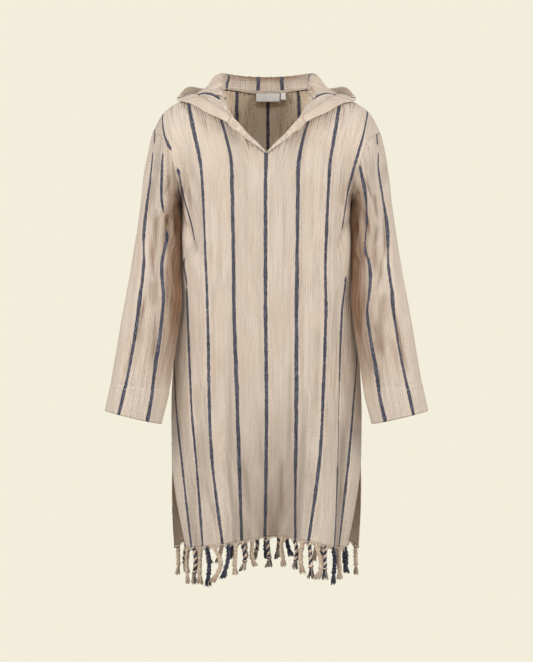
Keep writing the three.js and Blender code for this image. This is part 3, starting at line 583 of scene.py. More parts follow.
def crinkle_group() -> bpy.types.NodeTree:
    """Relief of double gauze: crinkle lines along the warp, ribs across, and puckers where gathered.

    The lines are sines of the place across the cloth, the ribs sines of the place along it, both bent
    and swelled by slow noise; puckers are noise drawn out along the warp. Height is their weighted
    sum, for the bump. Valley shade is high in the crinkle's hollows and pucker shade in the puckers,
    both painted shade for the colour; Tone changes slowly over the cloth.

    Returns:
        The group's tree.
    """
    g, inp, out = new_group("gauze_crinkle", {"Cloth": "Vector", "Gather": "Float"},
                            {"Height": "Float", "ValleyShade": "Float", "Tone": "Float", "PuckerShade": "Float"})
    place = g.add("ShaderNodeSeparateXYZ")
    g.feed(place.inputs[0], inp["Cloth"])
    u, v = place.outputs[0], place.outputs[1]

    def at(k: float, socket: bpy.types.NodeSocket) -> bpy.types.NodeSocket:
        """The value times k."""
        return g.math("MULTIPLY", socket, k)

    def wave(value: bpy.types.NodeSocket, length: float, bend: bpy.types.NodeSocket,
             reach: float) -> bpy.types.NodeSocket:
        """Sine of a length in metres whose place is bent by noise up to a reach."""
        moved = g.math("ADD", value, at(reach, g.math("SUBTRACT", bend, 0.5)))
        return g.math("SINE", at(2 * math.pi / length, moved))

    bend = g.noise(at(24, u), at(6, v), 0.0, 2.0, 0.45)
    jog = g.noise(at(30, u), at(22, v), 4.4, 2.0, 0.6)
    line = wave(u, 0.0054, bend, 0.013)
    broad = wave(u, 0.0092, bend, 0.024)
    rib = wave(v, 0.0056, jog, 0.015)
    swell = g.ramp(g.noise(at(90, u), at(14, v), 2.2, 2.0), 0.34, 0.66, (0.5, 1.05))
    patch = g.noise(at(17, u), at(11, v), 9.1, 2.0)
    thread = g.noise(at(430, u), at(26, v), 6.1, 2.0, 0.6)
    lower = g.ramp(v, 0.5, 0.8, (0.6, 1.5))
    middle = g.ramp(g.math("ABSOLUTE", u), 0.14, 0.04, (0.35, 1.25))
    ribs = g.math("MULTIPLY", g.math("MULTIPLY", rib, g.ramp(patch, 0.74, 0.44, (0.5, 1.0))), lower)
    ribs = g.math("MULTIPLY", ribs, middle)
    lines = g.math("MULTIPLY", line, swell)
    pucker = g.noise(at(170, u), at(20, v), 5.7, 2.0, 0.5, 0.4)
    gathered = g.math("MULTIPLY", g.ramp(pucker, 0.56, 0.40), inp["Gather"])
    height = g.math("ADD", g.math("ADD", at(0.40, lines), at(0.10, broad)), at(0.26, ribs))
    height = g.math("ADD", height, at(0.35, thread))
    height = g.math("SUBTRACT", height, at(1.1, gathered))
    low = g.math("ADD", g.math("ADD", at(0.66, lines), at(0.10, broad)), at(0.5, ribs))
    low = g.math("ADD", low, at(1.6, g.math("SUBTRACT", thread, 0.5)))
    g.feed(out.inputs["Height"], height)
    # Painted shade: strongest in the valleys of the crinkle lines, ribs and threads.
    g.feed(out.inputs["ValleyShade"], g.ramp(low, 0.15, -0.85))
    g.feed(out.inputs["Tone"], patch)
    # Painted shade in the puckers, which are also sunk into Height above.
    g.feed(out.inputs["PuckerShade"], gathered)
    return g.tree


def stripe_group() -> bpy.types.NodeTree:
    """Warp stripes: one at every whole pitch of the cloth's u, with ragged sides.

    The mask is a soft step of half a stripe's width against the distance to the nearest whole pitch;
    the flecks are noise drawn out along the warp.

    Returns:
        The group's tree.
    """
    g, inp, out = new_group("warp_stripes", {"Cloth": "Vector", "Show": "Float", "Half": "Float"},
                            {"Mask": "Float", "Fleck": "Float"})
    place = g.add("ShaderNodeSeparateXYZ")
    g.feed(place.inputs[0], inp["Cloth"])
    u, v = place.outputs[0], place.outputs[1]
    turns = g.math("DIVIDE", u, PITCH * MM)
    nearest = g.math("ROUND", turns)
    away = g.math("MULTIPLY", g.math("ABSOLUTE", g.math("SUBTRACT", turns, nearest)), PITCH * MM)
    own = g.math("MULTIPLY", nearest, 13.7)
    swell = g.noise(g.math("MULTIPLY", v, 26.0), own, 1.0, 2.0)
    ragged = g.noise(g.math("MULTIPLY", v, 240.0), g.math("MULTIPLY", u, 500.0), own, 2.0)
    half = g.math("MULTIPLY", inp["Half"], g.ramp(swell, 0.25, 0.75, (0.82, 1.16)))
    half = g.math("MULTIPLY", half, inp["Show"])
    edge = g.math("ADD", away, g.math("MULTIPLY", g.math("SUBTRACT", ragged, 0.5), 0.0032))
    inside = g.math("SUBTRACT", half, edge)
    mask = g.math("MULTIPLY", g.ramp(inside, -0.00035, 0.00045), g.ramp(inp["Show"], 0.05, 0.35))
    threads = g.noise(g.math("MULTIPLY", u, 1500.0), g.math("MULTIPLY", v, 42.0), own, 2.0)
    knots = g.noise(g.math("MULTIPLY", u, 300.0), g.math("MULTIPLY", v, 260.0), own, 1.0)
    fine, coarse = g.ramp(threads, 0.42, 0.66, (0.0, 0.55)), g.ramp(knots, 0.48, 0.68, (0.0, 0.5))
    fleck = g.math("ADD", fine, coarse, clamp=True)
    g.feed(out.inputs["Mask"], mask)
    g.feed(out.inputs["Fleck"], fleck)
    return g.tree


def start_material(name: str) -> tuple[bpy.types.Material, Graph, bpy.types.Node]:
    """A new material with its graph and its Principled shader."""
    material = bpy.data.materials.new(name)
    material.use_nodes = True
    g = Graph(material.node_tree)
    shader = g.add("ShaderNodeBsdfPrincipled")
    end = g.add("ShaderNodeOutputMaterial")
    g.feed(end.inputs["Surface"], shader.outputs[0])
    return material, g, shader


def cloth_place(g: Graph) -> bpy.types.NodeSocket:
    """The cloth's own place in metres, from the map named cloth."""
    return g.add("ShaderNodeUVMap", uv_map="cloth").outputs[0]


def mark_value(g: Graph, name: str) -> bpy.types.NodeSocket:
    """A number carried by the mesh under a name."""
    return g.add("ShaderNodeAttribute", attribute_name=name).outputs["Fac"]


@dataclass(frozen=True)
class GauzeFinish:
    """Crinkled cotton double gauze, undyed with indigo warp stripes, with painted shade in its creases,
    crinkle and puckers.
    """

    crinkle: bpy.types.NodeTree
    stripes: bpy.types.NodeTree
    cloth: tuple[int, int, int] = (232, 214, 196)
    pale: tuple[int, int, int] = (233, 217, 201)
    # Painted shade: the colour of the crinkle's valleys, then of shaded creases and troughs, then the darkest
    # of them.
    painted_shade: tuple[int, int, int] = (205, 177, 146)
    deep: tuple[int, int, int] = (141, 103, 71)
    deepest: tuple[int, int, int] = (88, 57, 36)
    indigo: tuple[int, int, int] = (54, 55, 71)
    heather: tuple[int, int, int] = (138, 137, 149)
    relief: float = 1.6
    half_stripe: float = 3.7

    def make(self, name: str, striped: bool = True) -> bpy.types.Material:
        """Builds the material; striped leaves the stripes in."""
        material, g, shader = start_material(name)
        place = cloth_place(g)
        gather = mark_value(g, "gather")
        relief = g.group(self.crinkle, Cloth=place, Gather=gather)
        ground = g.mix(g.ramp(relief.outputs["Tone"], 0.35, 0.65), srgb(*self.cloth), srgb(*self.pale))
        # Painted shade: the mesh's shade mark darkens the cloth towards deep brown.
        shade = mark_value(g, "painted_shade")
        colour = g.mix(g.math("MULTIPLY", shade, 0.86), ground, srgb(*self.deep))
        # Painted shade in the crinkle's valleys, browner where the shade mark is high.
        dip = g.mix(shade, srgb(*self.painted_shade), srgb(*self.deepest))
        colour = g.mix(g.math("MULTIPLY", relief.outputs["ValleyShade"], 0.36), colour, dip)
        # Painted shade in the puckers of gathered cloth.
        dip = g.mix(shade, srgb(*self.deep), srgb(*self.deepest))
        colour = g.mix(g.math("MULTIPLY", relief.outputs["PuckerShade"], 0.8), colour, dip)
        if striped:
            lines = g.group(self.stripes, Cloth=place, Show=mark_value(g, "show"), Half=self.half_stripe * MM)
            dark = g.mix(lines.outputs["Fleck"], srgb(*self.indigo), srgb(*self.heather))
            colour = g.mix(lines.outputs["Mask"], colour, dark)
        g.feed(shader.inputs["Base Color"], colour)
        bumps = g.add("ShaderNodeBump")
        bumps.inputs["Strength"].default_value = 1.0
        bumps.inputs["Distance"].default_value = self.relief * MM
        g.feed(bumps.inputs["Height"], relief.outputs["Height"])
        g.feed(shader.inputs["Normal"], bumps.outputs[0])
        shader.inputs["Roughness"].default_value = 0.92
        shader.inputs["Specular IOR Level"].default_value = 0.18
        shader.inputs["Sheen Weight"].default_value = 0.12
        shader.inputs["Sheen Roughness"].default_value = 0.6
        return material


@dataclass(frozen=True)
class YarnFinish:
    """Cotton yarn of the tassels and the sewing: undyed where dye is 0, indigo where it is 1."""

    undyed: tuple[int, int, int] = (236, 218, 198)
    shade: tuple[int, int, int] = (204, 180, 154)
    indigo: tuple[int, int, int] = (44, 45, 62)
    heather: tuple[int, int, int] = (98, 98, 116)

    def make(self, name: str) -> bpy.types.Material:
        """Builds the material with fibres drawn along each yarn."""
        material, g, shader = start_material(name)
        place = g.add("ShaderNodeSeparateXYZ")
        g.feed(place.inputs[0], cloth_place(g))
        u, v = place.outputs[0], place.outputs[1]
        fibre = g.noise(g.math("MULTIPLY", u, 900.0), g.math("MULTIPLY", v, 160.0), 0.0, 3.0)
        where = g.add("ShaderNodeTexCoord").outputs["Object"]
        spread = g.add("ShaderNodeTexNoise")
        g.feed(spread.inputs["Vector"], where)
        spread.inputs["Scale"].default_value = 420.0
        light = g.mix(g.ramp(fibre, 0.4, 0.65), srgb(*self.shade), srgb(*self.undyed))
        dark = g.mix(g.ramp(spread.outputs["Fac"], 0.44, 0.62), srgb(*self.indigo), srgb(*self.heather))
        g.feed(shader.inputs["Base Color"], g.mix(mark_value(g, "dye"), light, dark))
        bumps = g.add("ShaderNodeBump")
        bumps.inputs["Distance"].default_value = 0.3 * MM
        g.feed(bumps.inputs["Height"], fibre)
        g.feed(shader.inputs["Normal"], bumps.outputs[0])
        shader.inputs["Roughness"].default_value = 0.95
        shader.inputs["Specular IOR Level"].default_value = 0.15
        shader.inputs["Sheen Weight"].default_value = 0.2
        return material


@dataclass(frozen=True)
class WovenFinish:
    """A close plain weave for the tape, or a satin for the labels."""

    base: tuple[int, int, int]
    shade: tuple[int, int, int]
    threads: float            # threads to the metre
    roughness: float
    sheen: float

    def make(self, name: str) -> bpy.types.Material:
        """Builds the material from crossed sines of the cloth's place."""
        material, g, shader = start_material(name)
        place = g.add("ShaderNodeSeparateXYZ")
        g.feed(place.inputs[0], cloth_place(g))
        u = g.math("MULTIPLY", place.outputs[0], self.threads)
        v = g.math("MULTIPLY", place.outputs[1], self.threads)
        weave = g.math("MULTIPLY", g.math("SINE", u), g.math("SINE", v))
        wear = g.noise(g.math("MULTIPLY", u, 0.02), g.math("MULTIPLY", v, 0.05), 2.0, 3.0)
        tone = g.math("ADD", g.math("MULTIPLY", weave, 0.18), wear)
        colour = g.mix(g.ramp(tone, 0.3, 0.75), srgb(*self.shade), srgb(*self.base))
        g.feed(shader.inputs["Base Color"], colour)
        bumps = g.add("ShaderNodeBump")
        bumps.inputs["Distance"].default_value = 0.15 * MM
        g.feed(bumps.inputs["Height"], tone)
        g.feed(shader.inputs["Normal"], bumps.outputs[0])
        shader.inputs["Roughness"].default_value = self.roughness
        shader.inputs["Sheen Weight"].default_value = self.sheen
        return material


@dataclass
class Finishes:
    """All the finishes of the tunic."""

    striped: bpy.types.Material
    # Painted light: the panels' inner faces get a lighter copy of the gauze.
    inner: bpy.types.Material
    plain: bpy.types.Material
    yarn: bpy.types.Material
    tape: bpy.types.Material
    satin: bpy.types.Material

    @classmethod
    def make(cls) -> "Finishes":
        """Builds the shared groups and every material."""
        gauze = GauzeFinish(crinkle_group(), stripe_group())
        # Painted light: a lighter copy of the gauze, with lighter painted shade, brightens the shaded inside.
        inside = replace(gauze, cloth=(252, 230, 202), pale=(250, 231, 207),
                         painted_shade=(236, 204, 170), deep=(204, 168, 134), deepest=(160, 122, 90))
        return cls(
            striped=gauze.make("striped_gauze"),
            inner=inside.make("inner_gauze_painted_lighter"),
            plain=gauze.make("plain_gauze", striped=False),
            yarn=YarnFinish().make("cotton_yarn"),
            tape=WovenFinish((214, 198, 180), (186, 168, 148), 5200.0, 0.85, 0.1).make("neck_tape_weave"),
            satin=WovenFinish((248, 246, 242), (232, 228, 222), 7000.0, 0.45, 0.3).make("label_satin"))


# ---------------------------------------------------------------- body
class Side(Enum):
    """Front or back half of the body; the value is its direction along Y."""

    FRONT = -1.0
    BACK = 1.0


LEVELS = Table("z half front back", (
    (-205, 173, 113, 106), (-300, 175, 117, 106), (-400, 179, 120, 106), (-500, 188, 123, 109),
    (-610, 194, 125, 112), (-735, 193, 127, 115), (-800, 194, 130, 117), (-860, 192, 133, 119),
    (-915, 189, 135, 120)))
HEMS = {
    Side.FRONT: Table("c z", ((-1, -901), (-0.75, -899), (-0.5, -893), (-0.25, -885), (0, -879), (0.2, -879),
                              (0.4, -887), (0.6, -896), (0.8, -900), (1, -905))),
    Side.BACK: Table("c z", ((-1, -910), (-0.6, -900), (-0.2, -884), (0.2, -884), (0.6, -900), (1, -910))),
}
# Large folds: x at the upper and lower end, z of both, half width and depth.
FOLDS = {
    Side.FRONT: Table("x0 x1 z0 z1 width depth", (
        (14, 10, -560, -1010, 58, 84), (-150, -128, -330, -900, 15, 3.5), (-118, -104, -520, -1000, 12, -7),
        (152, 146, -300, -1000, 15, 13), (116, 116, -560, -1000, 14, -8), (-70, -84, -420, -900, 18, -5),
        (62, 76, -420, -900, 18, -6), (-163, -150, -240, -560, 9, 6), (161, 156, -240, -520, 9, 5))),
    Side.BACK: Table("x0 x1 z0 z1 width depth", (
        (-8, -12, -480, -1010, 46, 44), (-110, -96, -380, -980, 20, 14), (104, 92, -420, -1000, 22, 16),
        (-150, -150, -520, -1010, 13, 10), (150, 148, -460, -1010, 13, 9), (-56, -60, -520, -1010, 20, -12),
        (50, 48, -560, -1010, 20, -13))),
}
# Smaller creases over the folds, on both sides; the front ones are pulled from armpits and hem.
CREASES = {
    Side.FRONT: Table("x0 z0 x1 z1 width depth", (
        (-172, -222, -128, -330, 7, 4.5), (-168, -250, -136, -380, 6, -3), (172, -226, 134, -320, 7, 4.5),
        (166, -262, 142, -400, 6, -3), (-160, -150, -150, -230, 6, 2.5), (158, -150, 148, -232, 6, 2.5),
        (-96, -160, -92, -420, 8, 1.8), (-44, -130, -40, -350, 7, 1.4), (36, -150, 33, -420, 8, 1.6),
        (92, -120, 94, -330, 7, 1.6), (-118, -420, -100, -700, 8, 2.4), (-30, -460, -26, -760, 8, -2.2),
        (48, -480, 44, -800, 9, 2.4), (106, -400, 92, -720, 8, 2.2), (-84, -640, -66, -850, 7, 3.2),
        (-44, -700, -34, -870, 6, 3.0), (-16, -720, -12, -874, 6, -2.6), (30, -700, 30, -872, 6, 3.2),
        (72, -680, 62, -866, 7, -2.8), (96, -720, 78, -880, 7, 3.0), (-118, -740, -100, -880, 8, 2.6),
        (128, -740, 116, -884, 7, 2.4), (-150, -560, -142, -860, 6, -1.8), (152, -600, 140, -860, 6, 2.0))),
    Side.BACK: Table("x0 z0 x1 z1 width depth", (
        (-176, -228, -120, -300, 8, 4), (174, -232, 126, -330, 8, 4), (-150, -180, -70, -250, 9, 2.4),
        (148, -190, 60, -260, 9, 2.4), (-60, -120, -52, -420, 9, 1.8), (30, -140, 34, -460, 9, 1.6),
        (96, -150, 92, -420, 8, 1.8), (-120, -420, -112, -760, 9, 2.6), (-26, -420, -30, -700, 8, 2.4),
        (62, -460, 60, -800, 9, 2.4), (124, -460, 118, -780, 8, 2.2), (-78, -660, -84, -880, 8, 3),
        (-36, -700, -34, -880, 7, -2.6), (20, -680, 18, -880, 8, 3), (84, -700, 78, -890, 8, 2.8))),
}
SHOULDER = Table("x z", ((96, 20), (125, 17.5), (155, 11), (182, -0.5), (198, -10), (214, -26), (226, -44),
                         (234, -64)))
NECK_EDGES = {
    Side.FRONT: Table("k x y z", ((0, 0, -108, -114), (0.2, 36.5, -106.5, -81), (0.4, 56, -101, -58),
                                  (0.6, 76.5, -83, -31), (0.8, 91, -55, -3), (1, 96, 0, 20))),
    Side.BACK: Table("k x y z", ((0, 0, 78, 33), (0.3, 34, 74, 33), (0.6, 68, 58, 33), (0.85, 90, 30, 30),
                                 (1, 96, 0, 20))),
}
# Where the warp stripes of the front lie, from the wearer's right to left: a row for the shoulder,
# the yoke, the chest, the armpit, three for the fold below it, the waist, the hip, the slit and the hem.
FRONT_STRIPES = Table("z r4 r3 r2 r1 middle l1 l2 l3 l4", (
    (-10, -236, -214, -157, -102, -1, 98, 147, 208, 240),
    (-70, -226, -206, -145, -83, -1, 76, 137, 195, 230),
    (-130, -204, -181, -132, -70, -1, 64, 127, 178, 202),
    (-190, -194, -168, -127, -68, -2, 62, 123, 163, 194),
    (-280, -190, -147, -123, -66, -2, 61, 119, 152, 191),
    (-326, -190, -166, -121, -65, -2, 60, 117, 156, 190),
    (-366, -190, -161, -119, -65, -2, 60, 117, 158, 190),
    (-430, -189, -158, -117, -64, -2, 59, 118, 150, 189),
    (-600, -183, -150, -114, -58, 0, 59, 112, 144, 175),
    (-730, -169, -139, -107, -54, -1, 58, 104, 143, 163),
    (-900, -149, -126, -85, -49, -4, 58, 80, 135, 143)))
# Stretches where a fold hides or thins a stripe: its number, upper and lower end, what stays.
FRONT_HIDDEN = Table("stripe z0 z1 stays", (
    (-3, -278, -326, 0.0), (-3, -366, -388, 0.35), (3, -258, -364, 0.0), (3, -560, -745, 0.45),
    (-2, -250, -560, 0.85), (-3, 30, -98, 0.85), (-3, -98, -148, 0.0), (-3, -146, -186, 0.42),
    (3, 30, -250, 0.68), (-3, -330, -760, 0.8)))
BODY_WAVES = ((31.0, 0.26), (22.0, 0.24), (15.5, 0.24), (12.2, 0.24))


def fold_depth(side: Side, x: Array, z: Array) -> Array:
    """Depth of the large folds: bells across a leaning line that grow from its top to its bottom."""
    total = np.zeros_like(x)
    for f in FOLDS[side].records():
        t = np.clip((f["z0"] - z) / (f["z0"] - f["z1"]), 0, 1)
        bell = bump((x - lerp(f["x0"], f["x1"], t)) / f["width"])
        total += f["depth"] * smooth(t) * bell * (z > f["z1"] - 60)
    return total


def body_point(c: Array, z: Array | float, side: Side) -> Array:
    """Points of the body below the armpits.

    Each level is half of a rounded-off ellipse (sine and cosine to the power 2/2.3); below the slit's
    top the front edges draw in and forward and the back ones hang; folds move points along Y.

    Args:
        c: place across the panel, -1 and 1 at the side seams.
        z: height.
        side: front or back.

    Returns:
        The points.
    """
    c, z = np.broadcast_arrays(np.asarray(c, float), np.asarray(z, float))
    level = LEVELS.at(z)
    open_share = np.clip((SLIT_TOP_Z - z) / 165, 0, 1.1)
    if side is Side.FRONT:
        half, depth, edge = level["half"] - 27 * open_share ** 1.15, -level["front"], -42 * open_share ** 1.3
    else:
        half, depth, edge = level["half"], level["back"], 9 * open_share
    a, power = c * math.pi / 2, 2 / 2.3
    x = half * np.sign(np.sin(a)) * np.abs(np.sin(a)) ** power
    y = edge + (depth - edge) * np.maximum(0, np.cos(a)) ** power
    return vec(x, y - side.value * fold_depth(side, x, z) * (1 - np.abs(c) ** 8), z)


def top_point(c: Array, side: Side) -> Array:
    """Upper edge of a panel: its neckline, then the shoulder seam."""
    a, s = np.abs(c), np.where(c < 0, -1.0, 1.0)
    edge = NECK_EDGES[side].at(a / NECK_SHARE)
    x = lerp(NECK_HALF, SHOULDER_HALF, (a - NECK_SHARE) / (1 - NECK_SHARE))
    seam = vec(s * x, 0, SHOULDER.at(x)["z"])
    return np.where((a < NECK_SHARE - 1e-9)[..., None], vec(s * edge["x"], edge["y"], edge["z"]), seam)


def upper_point(c: Array, w: Array, side: Side) -> Array:
    """Points above the armpits: each warp line is a Bezier curve from the upper edge to the chest.

    It leaves the shoulder flat and comes down hanging. A line that starts at the front neckline is
    the lower stretch of such a curve, moved so that it starts on the edge.

    Args:
        c: place across the panel.
        w: share of the way down, 0 to 1.
        side: front or back.

    Returns:
        The points.
    """
    c, w = np.broadcast_arrays(np.asarray(c, float), np.asarray(w, float))
    front, f = side is Side.FRONT, side.value
    a, s = np.abs(c), np.where(c < 0, -1.0, 1.0)
    top, base = top_point(c, side), body_point(c, ARMPIT_Z, side)
    in_neck = (a < NECK_SHARE - 1e-9) & front
    start = np.where(in_neck[..., None], vec(top[..., 0], 0, SHOULDER_RISE), top)
    beta = np.zeros_like(a) if front else np.radians(62 * np.clip(top[..., 1] / 78, 0, 1))
    outer = a ** 3
    reach = lerp(0.36, 0.42, outer) * np.linalg.norm(start - base, axis=-1)
    sx, sy, sz = (start[..., k] for k in range(3))
    bx, by, bz = (base[..., k] for k in range(3))
    p1 = vec(sx + lerp(0.16 * (bx - sx), -s * 40, outer),
             sy + f * np.cos(beta) * lerp(reach, 100 if front else 92, outer), sz - np.sin(beta) * reach)
    under = smooth((a - 0.45) / 0.55) ** 1.5
    rise = lerp(0.45 * (sz - bz), 35, outer)
    forward = (-0.042 if front else 0.0) * rise * (1 - a) + (104 if front else 100) * under
    p2 = vec(bx + s * (5 * outer - 0.02 * rise * a), by + f * forward, bz + rise)
    low, high = np.zeros_like(a), np.full_like(a, 0.93)
    for _ in range(24):
        mid = (low + high) / 2
        before = bezier(start, p1, p2, base, mid)[..., 1] > top[..., 1]
        low, high = np.where(before, mid, low), np.where(before, high, mid)
    low = np.where(in_neck, low, 0.0)
    off = np.where(in_neck[..., None], top - bezier(start, p1, p2, base, low), 0.0)
    return bezier(start, p1, p2, base, lerp(low, 1, w)) + off * ((1 - w) ** 1.6)[..., None]


@dataclass
class Panel:
    """Front or back of the body, from the neckline and shoulder seams to the hem."""

    side: Side
    cut: tuple[float, float] = (0.60, 0.93)      # width and length of the flat cut, metres
    top_rows: int = 10
    neck_columns: int = 5
    half_columns: int = 12
    low_rows: tuple[float, ...] = (-245, -290, -340, -395, -450, -505, -560, -615, -675, SLIT_TOP_Z,
                                   -780, -825, -865)
    fine: tuple[int, int] = (250, 150)
    surface: Surface = field(init=False)
    coarse: Array = field(init=False)
    columns: Array = field(init=False)

    def __post_init__(self) -> None:
        """Works out the panel's columns, its coarse grid and its fine surface."""
        inner = NECK_SHARE * np.arange(self.neck_columns + 1) / self.neck_columns
        rest = self.half_columns - self.neck_columns
        half = np.concatenate((inner, lerp(NECK_SHARE, 1, np.arange(1, rest + 1) / rest)))
        self.columns = np.concatenate((-half[:0:-1], half))
        self.coarse = self.coarse_grid()
        self.surface = self.fine_surface()

    def coarse_grid(self) -> Array:
        """Rows across the panel through the sizes above; the chest rows even themselves out."""
        c = self.columns[None]
        hem = HEMS[self.side].at(c)["z"]
        low = np.array(self.low_rows)[:, None]
        share = smooth((low - SLIT_TOP_Z) / (HEM_Z - SLIT_TOP_Z))
        grid = np.concatenate((
            upper_point(c, np.linspace(0, 1, self.top_rows + 1)[:, None], self.side),
            body_point(c, low + (hem - HEM_Z) * share, self.side),
            body_point(c, hem, self.side)))
        rows = np.arange(2, self.top_rows + 2)
        weight = 0.5 * np.minimum(1, (rows - 1) / 3)[:, None, None]
        for _ in range(4):
            mean = (grid[rows - 1, 1:-1] + grid[rows + 1, 1:-1] + grid[rows, :-2] + grid[rows, 2:]) / 4
            grid[rows, 1:-1] += (mean - grid[rows, 1:-1]) * weight
        return grid

    def fine_surface(self) -> Surface:
        """The cloth with its creases, crinkle and the place of its stripes."""
        rows = evenly(self.coarse[:, self.half_columns], self.fine[0])
        cols = evenly(self.coarse[self.top_rows + 2], self.fine[1])
        points = refine(self.coarse, rows, cols)
        out = np.array((0.0, self.side.value, 0.0)) + np.where(points[..., 2:] > -60, (0, 0, 0.6), (0, 0, 0))
        surface = Surface(points, np.zeros(points.shape[:2] + (2,)), out)
        x, z = points[..., 0], points[..., 2]
        along = arc(points, axis=0)
        u, show = self.stripes(points)
        surface.uv = np.stack((u * MM, along * MM), axis=-1)
        gather = self.gathers(x, z)
        edge = smooth(np.minimum(arc(points, 1), arc(points[:, ::-1], 1)[:, ::-1]) / 14)
        relief = ripple(u, along, BODY_WAVES, 3 if self.side is Side.FRONT else 8) * smooth(along / 25)
        seam = 0.5 * (1 - edge) * (z > SLIT_TOP_Z)
        surface.push((relief - creases(CREASES[self.side], x, z)) * edge - seam)
        # Painted shade where the cloth lies below its neighbours.
        surface.marks = {"show": show, "gather": gather, "painted_shade": surface.hollows((7, 6), 6.0)}
        return surface

    def stripes(self, points: Array) -> tuple[Array, Array]:
        """Place across the cloth, counted so that stripe k lies at k pitches, and how much of each shows.

        On the back it is the length along the row from the middle. On the front each row is pinned
        where it crosses the stripes' table and runs on by its own length beyond the last one.

        Args:
            points: the panel's fine grid.

        Returns:
            The place in millimetres and the share shown.
        """
        across = across_warp(points)
        middle = np.array([np.interp(3.0, row[:, 0], length) for row, length in zip(points, across)])
        place = across - middle[:, None]
        show = np.ones(place.shape)
        if self.side is Side.BACK:
            return place, show
        lines = FRONT_STRIPES.at(points[..., 2])
        names = FRONT_STRIPES.columns.split()[1:]
        numbers = np.arange(len(names)) - len(names) // 2
        gaps = np.stack([points[..., 0] - lines[name] for name in names], axis=-1)
        for i, (row, length) in enumerate(zip(gaps, across)):
            seen = [k for k in range(len(names)) if row[0, k] < -0.5 and row[-1, k] > 0.5]
            pins = np.array([np.interp(0.0, row[:, k], length) for k in seen])
            place[i] = pinned(length, pins, PITCH * numbers[seen])
        nearest = np.round(place / PITCH)
        z = points[..., 2]
        for h in FRONT_HIDDEN.records():
            inside = smooth((h["z0"] - z) / 10) * smooth((z - h["z1"]) / 10)
            show = np.where(nearest == h["stripe"], show * lerp(1, h["stays"], inside), show)
        return place, show

    def gathers(self, x: Array, z: Array) -> Array:
        """How puckered the cloth is at the armpits, shown as bump relief and painted shade."""
        return 0.6 * bump((np.abs(x) - 168) / 24) * bump((z - ARMPIT_Z) / 62)

    def pucker_below(self, layers: Sequence[Surface]) -> None:
        """Puckers the cloth just below what lies on it, less with the distance from its edge, as bump relief
        and painted shade.

        Args:
            layers: the sheets that lie on the panel.
        """
        cover = np.concatenate([layer.points[::2, ::3].reshape(-1, 3) for layer in layers])
        own = (cover ** 2).sum(axis=1)
        for i in np.flatnonzero(self.surface.points[:, 0, 2] > -400):
            row = self.surface.points[i]
            far = own - 2 * row @ cover.T
            near = cover[far.argmin(axis=1)]
            away = np.linalg.norm(row - near, axis=1)
            uneven = 0.62 + 0.38 * np.sin(row[:, 0] / 8.3) * np.sin(row[:, 0] / 3.1 + 1)
            grow = np.exp(-np.maximum(away - 4, 0) / (15 * uneven)) * smooth((near[:, 2] - row[:, 2] + 6) / 8)
            grow *= smooth((np.abs(row[:, 0]) - 6) / 30)
            self.surface.marks["gather"][i] = np.maximum(self.surface.marks["gather"][i], grow)

    def dress(self, finishes: Finishes) -> bpy.types.Object:
        """Makes the piece and stands it for its node."""
        name = "front" if self.side is Side.FRONT else "back"
        piece = self.surface.build(f"{name}_panel", finishes.striped, lining=finishes.inner)
        settle(piece, name)
        round(self.surface.area(), 3)
        report(piece, self.surface)
        return piece


def settle(piece: bpy.types.Object, node: str | None) -> None:
    """Lets a piece ride on the body and stand for a node."""
    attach(piece, "root")
    if node:
        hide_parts(node)


def report(piece: bpy.types.Object, surface: Surface | None = None) -> None:
    """Logs a piece's faces and area."""
    area = f", {surface.area():.4f} m2" if surface else ""
    LOG.info("%s: %d faces%s", piece.name, len(piece.data.polygons), area)


# ---------------------------------------------------------------- sleeves
# Each ring goes from its outer point to its inner point (x, z), at depth y, with half depth d.
SLEEVE = Table("t ox oz ix iz y d", (
    (0, 234, -64, 173, -205, 0, 78), (1, 240, -96, 176.3, -212, -2, 72),
    (2, 246, -140, 176.6, -221, -5, 65), (3, 251, -186, 177, -234, -8, 58),
    (4, 258, -236, 177.6, -256, -14, 52), (5, 267, -300, 177.2, -304, -28, 47),
    (6, 274, -350, 174.5, -350, -47, 45), (7, 281, -393, 170, -395, -61, 44),
    (8, 289, -440, 173, -444, -68, 44), (9, 303, -530, 186.5, -538, -75, 44),
    (10, 311, -577, 196, -592, -79, 43), (11, 321, -626, 211, -652, -83, 42)))
CUFF_T = 9.86
# Creases: ring and angle (0 outer, 90 front, 180 inner), reach along and round, slant, depth.
SLEEVE_FOLDS = Table("t angle along round slant depth", (
    (3.4, 118, 1.6, 13, -10, 9), (2.4, 146, 1.3, 12, -14, 8), (5.2, 128, 1.5, 12, 12, 8),
    (6.4, 92, 1.6, 13, 16, 7), (7.5, 140, 1.1, 16, 20, 9), (8.3, 60, 1.2, 13, -12, 5),
    (4.4, 65, 1.5, 12, 10, 4), (9.1, 115, 0.9, 12, 14, 5), (4.0, 238, 1.6, 16, 12, 8),
    (6.2, 262, 1.4, 16, -14, 7), (7.9, 226, 1.3, 15, 12, 7), (3.0, 286, 1.3, 14, -10, 5)))
FINE_SLEEVE_FOLDS = Table("t angle along round slant depth", (
    (1.6, 128, 0.9, 6, -16, 3.0), (1.3, 104, 1.0, 6, -12, 2.2), (2.2, 96, 1.0, 6, -10, 2.4),
    (3.0, 82, 1.2, 6, -6, 2.0), (3.8, 150, 1.0, 7, -8, 2.6), (4.8, 106, 1.2, 6, 8, 2.4),
    (5.8, 150, 1.0, 7, 14, 2.8), (6.9, 118, 1.0, 6, 12, 2.6), (7.0, 70, 1.2, 6, -8, 2.0),
    (8.2, 98, 0.9, 6, 10, 2.2), (8.9, 80, 0.7, 6, 8, 1.8), (9.3, 150, 0.6, 8, 10, 2.4),
    (2.6, 205, 1.2, 8, -10, 2.6), (5.0, 262, 1.3, 8, 8, 2.4), (7.2, 250, 1.2, 8, -8, 2.4),
    (9.0, 285, 0.9, 8, 6, 2.0)))
